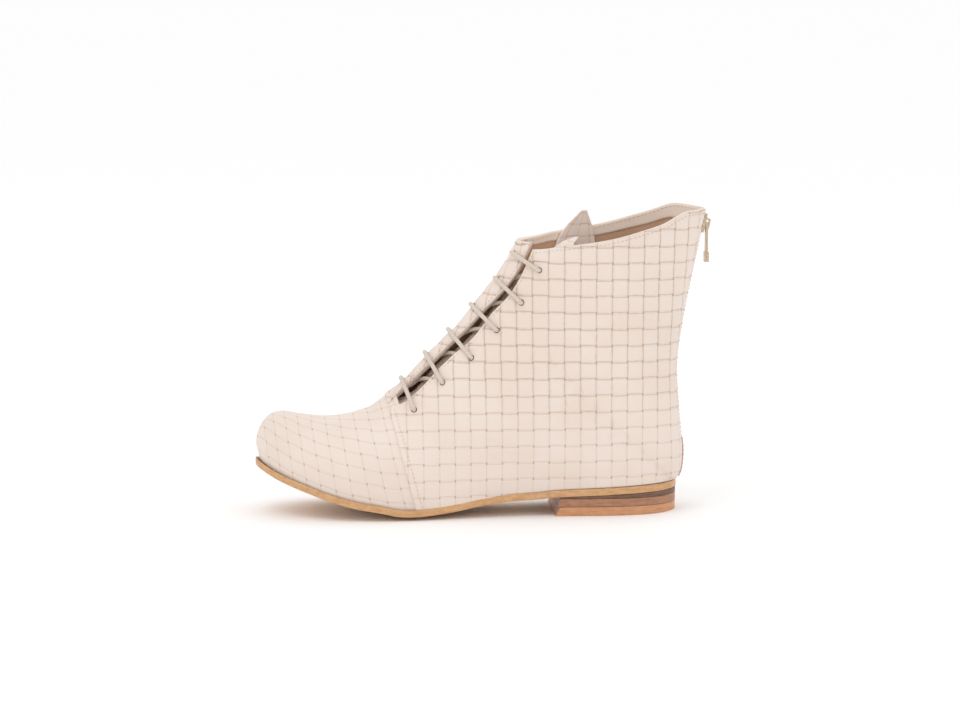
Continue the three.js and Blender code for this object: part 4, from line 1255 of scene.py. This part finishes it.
def stitch_row(name, line, out, length=1.9, width=.62, tall=.5):
    """Stitches along a line of points, with the direction that the leather faces."""
    gone = np.concatenate([[0], np.cumsum(np.linalg.norm(np.diff(line, axis=0), axis=1))])
    spots = np.arange(STITCH_PITCH / 2, gone[-1] - 1, STITCH_PITCH)
    at = np.stack([np.interp(spots, gone, line[:, n]) for n in range(3)], -1)
    up = unit(np.stack([np.interp(spots, gone, out[:, n]) for n in range(3)], -1))
    way = unit(np.stack([np.interp(spots + .5, gone, line[:, n])
                         - np.interp(spots - .5, gone, line[:, n]) for n in range(3)], -1))
    side = np.cross(up, way)
    points = (at[:, None] + way[:, None] * bead[None, :, :1] * length
              + side[:, None] * bead[None, :, 1:2] * width
              + up[:, None] * bead[None, :, 2:] * tall)
    made = row_of_copies(name, points, bead_faces)
    pick_only(made)
    bpy.ops.object.shade_smooth()
    dress(made, thread)


def line_on(at, angle, reach):
    return on_last(at, angle, reach), normal(at, angle)


for side, name in ((-1, "outer"), (1, "inner")):
    rows = np.linspace(10.9, 22, 220)
    seam = side * (throat_edge(rows, side) + .035)
    spots, out = line_on(rows, seam, STEP + .1)
    keep = spots[:, 2] < collar_height(spots[:, 0], side) - COLLAR_MARGIN
    stitch_row("stitches_throat_" + name, spots[keep], out[keep])
    share = np.linspace(.02, .985, 200)
    spots, out = line_on(*down_from_collar(share, side, 2.3), STEP + .12)
    stitch_row("stitches_collar_" + name, spots, out)
    spots, out = line_on(*down_from_collar(share, side, 2.), FACING_REACH - .1)
    stitch_row("stitches_facing_" + name, spots, -out)
    rows = np.full(120, SEAM_PLACE)
    ends = back_angle(rows, side)
    angle = side * np.linspace(throat_edge(SEAM_PLACE, side) + .06, ends[0] - .03, 120)
    spots, out = line_on(rows, angle, STEP + .1)
    stitch_row("stitches_seam_" + name, spots, out)
    rows = np.linspace(17.2, 22.4, 160)
    angle = side * (back_angle(rows, side, ZIP_HALF + 3.2))
    spots, out = line_on(rows, angle, STEP + .12)
    keep = spots[:, 2] < collar_height(spots[:, 0], side) - COLLAR_MARGIN
    stitch_row("stitches_zip_" + name, spots[keep], out[keep])


# %% [markdown]
# ## Zip
# A tape with two rows of teeth that mesh, a slider that stays at the top, a pull that hangs from
# it on its hinge, and a leather strip that covers the foot of the zip.

# %% Tape, teeth and strip
def back_point(rise, y, reach):
    """Point on the back line at a share of the shaft height, a distance y to the side."""
    rise, y = np.broadcast_arrays(np.asarray(rise, dtype=float), np.asarray(y, dtype=float))
    at = row_place(LAST["low_rise"][RING:], rise) + RING
    s = section(at, np.full_like(at, -1))
    angle = math.pi - np.arcsin(np.clip((np.abs(y) / s[5]) ** (1 / s[7]), 0, 1))
    out = normal(at, np.full_like(at, math.pi - .001))
    out[..., 1] = 0
    out = unit(out)
    point = surface(at, np.where(y < 0, -angle, angle))
    point[..., 1] = y
    return point + out * reach, out


ZIP_FROM, ZIP_TO, TAPE_HALF = 26 / SHAFT, .985, 5.5
tape = panel("zip_tape_band", 14, 120,
             lambda u, v: back_point(mix(ZIP_FROM, ZIP_TO, v), mix(-TAPE_HALF, TAPE_HALF, u),
                                     -1.1)[0],
             lambda u, v: np.stack([v * 150, u], -1), outward=lambda face: np.array([1., 0, 0]))
modify(tape, "SOLIDIFY", thickness=.0006, offset=-1.)
dress(tape, zip_tape, ("zip_chain",))


# One tooth: a box with its edges rounded, and its tip narrowed below
bpy.ops.object.select_all(action="DESELECT")
bpy.ops.mesh.primitive_cube_add(size=1)
bpy.ops.object.mode_set(mode="EDIT")
bpy.ops.mesh.select_all(action="SELECT")
bpy.ops.mesh.bevel(offset=.16, segments=1)
bpy.ops.object.mode_set(mode="OBJECT")
tooth, tooth_faces = taken_model()
TOOTH_PITCH, TOOTH_WIDTH, TOOTH_SHIFT, TOOTH_LENGTH, TOOTH_HEIGHT = 1.3, 3.1, .75, .95, 1.2
COVER_HALF = 7
tooth_count = int((ZIP_TO - ZIP_FROM - .03) * SHAFT / TOOTH_PITCH)
rises = ZIP_FROM + .01 + np.arange(tooth_count) * TOOTH_PITCH / SHAFT
lean_side = np.where(np.arange(tooth_count) % 2, 1., -1.)
spots, out = back_point(rises, np.zeros(tooth_count), -.4)
way = unit(np.gradient(spots, axis=0))
across = np.cross(out, way)
narrow = 1 - .3 * (tooth[None, :, :1] * lean_side[:, None, None] < 0)
points = (spots[:, None] + across[:, None] * (tooth[None, :, :1] * TOOTH_WIDTH
                                              + lean_side[:, None, None] * TOOTH_SHIFT)
          + way[:, None] * tooth[None, :, 1:2] * TOOTH_LENGTH * narrow
          + out[:, None] * tooth[None, :, 2:] * TOOTH_HEIGHT)
dress(row_of_copies("zip_teeth", points, tooth_faces), zip_metal)

strip = panel("back_strip_leaf", 24, 40,
              lambda u, v: back_point(mix(.012, ZIP_FROM - .004, v),
                                      mix(-COVER_HALF, COVER_HALF, u), STEP + .75)[0],
              outward=lambda face: np.array([1., 0, 0]))
modify(strip, "SOLIDIFY", thickness=.0007, offset=-1.)
dress(strip, strip_leather, ("back_strip",))
for side in (-1, 1):
    rise = np.linspace(.02, ZIP_FROM - .012, 40)
    spots, out = back_point(rise, side * 5.6, STEP + .85)
    stitch_row("stitches_strip_%s" % ("outer" if side < 0 else "inner"), spots, out)

# %% Slider and pull
for node in ("zip_slider", "zip_pull"):
    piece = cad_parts[node]
    piece.data.materials.clear()
    piece.data.materials.append(zip_metal)

# %% [markdown]
# ## Floor and light
# The photograph is on plain white with a soft shadow close under the sole.

# %% Floor, world and lamps
bpy.ops.object.select_all(action="DESELECT")
bpy.ops.mesh.primitive_plane_add(size=60, location=(0, 0, 0))
floor = bpy.context.object
floor.name = "floor"
floor_paint, t, shader, where = finish("floor", .9)
tone = blend(t, noise(t, where.outputs["Object"], 3.), (.985, .985, .985, 1), (.99, .99, .99, 1))
t.links.new(tone, shader.inputs["Base Color"])
floor.data.materials.append(floor_paint)

world = bpy.data.worlds.new("studio")
scene.world = world
world.use_nodes = True
world.node_tree.nodes["Background"].inputs["Color"].default_value = (1, 1, 1, 1)
world.node_tree.nodes["Background"].inputs["Strength"].default_value = 1.
scene.view_settings.view_transform = "Standard"


def lamp(name, place, size, power):
    """A soft area light that faces the boot."""
    bpy.ops.object.light_add(type="AREA", location=place)
    made = bpy.context.object
    made.name = name
    made.data.size = size
    made.data.energy = power
    toward = np.array(AIM) - np.array(place)
    made.rotation_euler = (math.atan2(math.hypot(toward[0], toward[1]), -toward[2]), 0,
                           math.atan2(-toward[0], toward[1]))


lamp("key", (-.7, -.7, 1.6), .8, 3.4)
lamp("fill", (.9, -1.2, .8), 1.0, .6)
lamp("back", (.3, 1.3, 1.1), 1.2, 1.4)
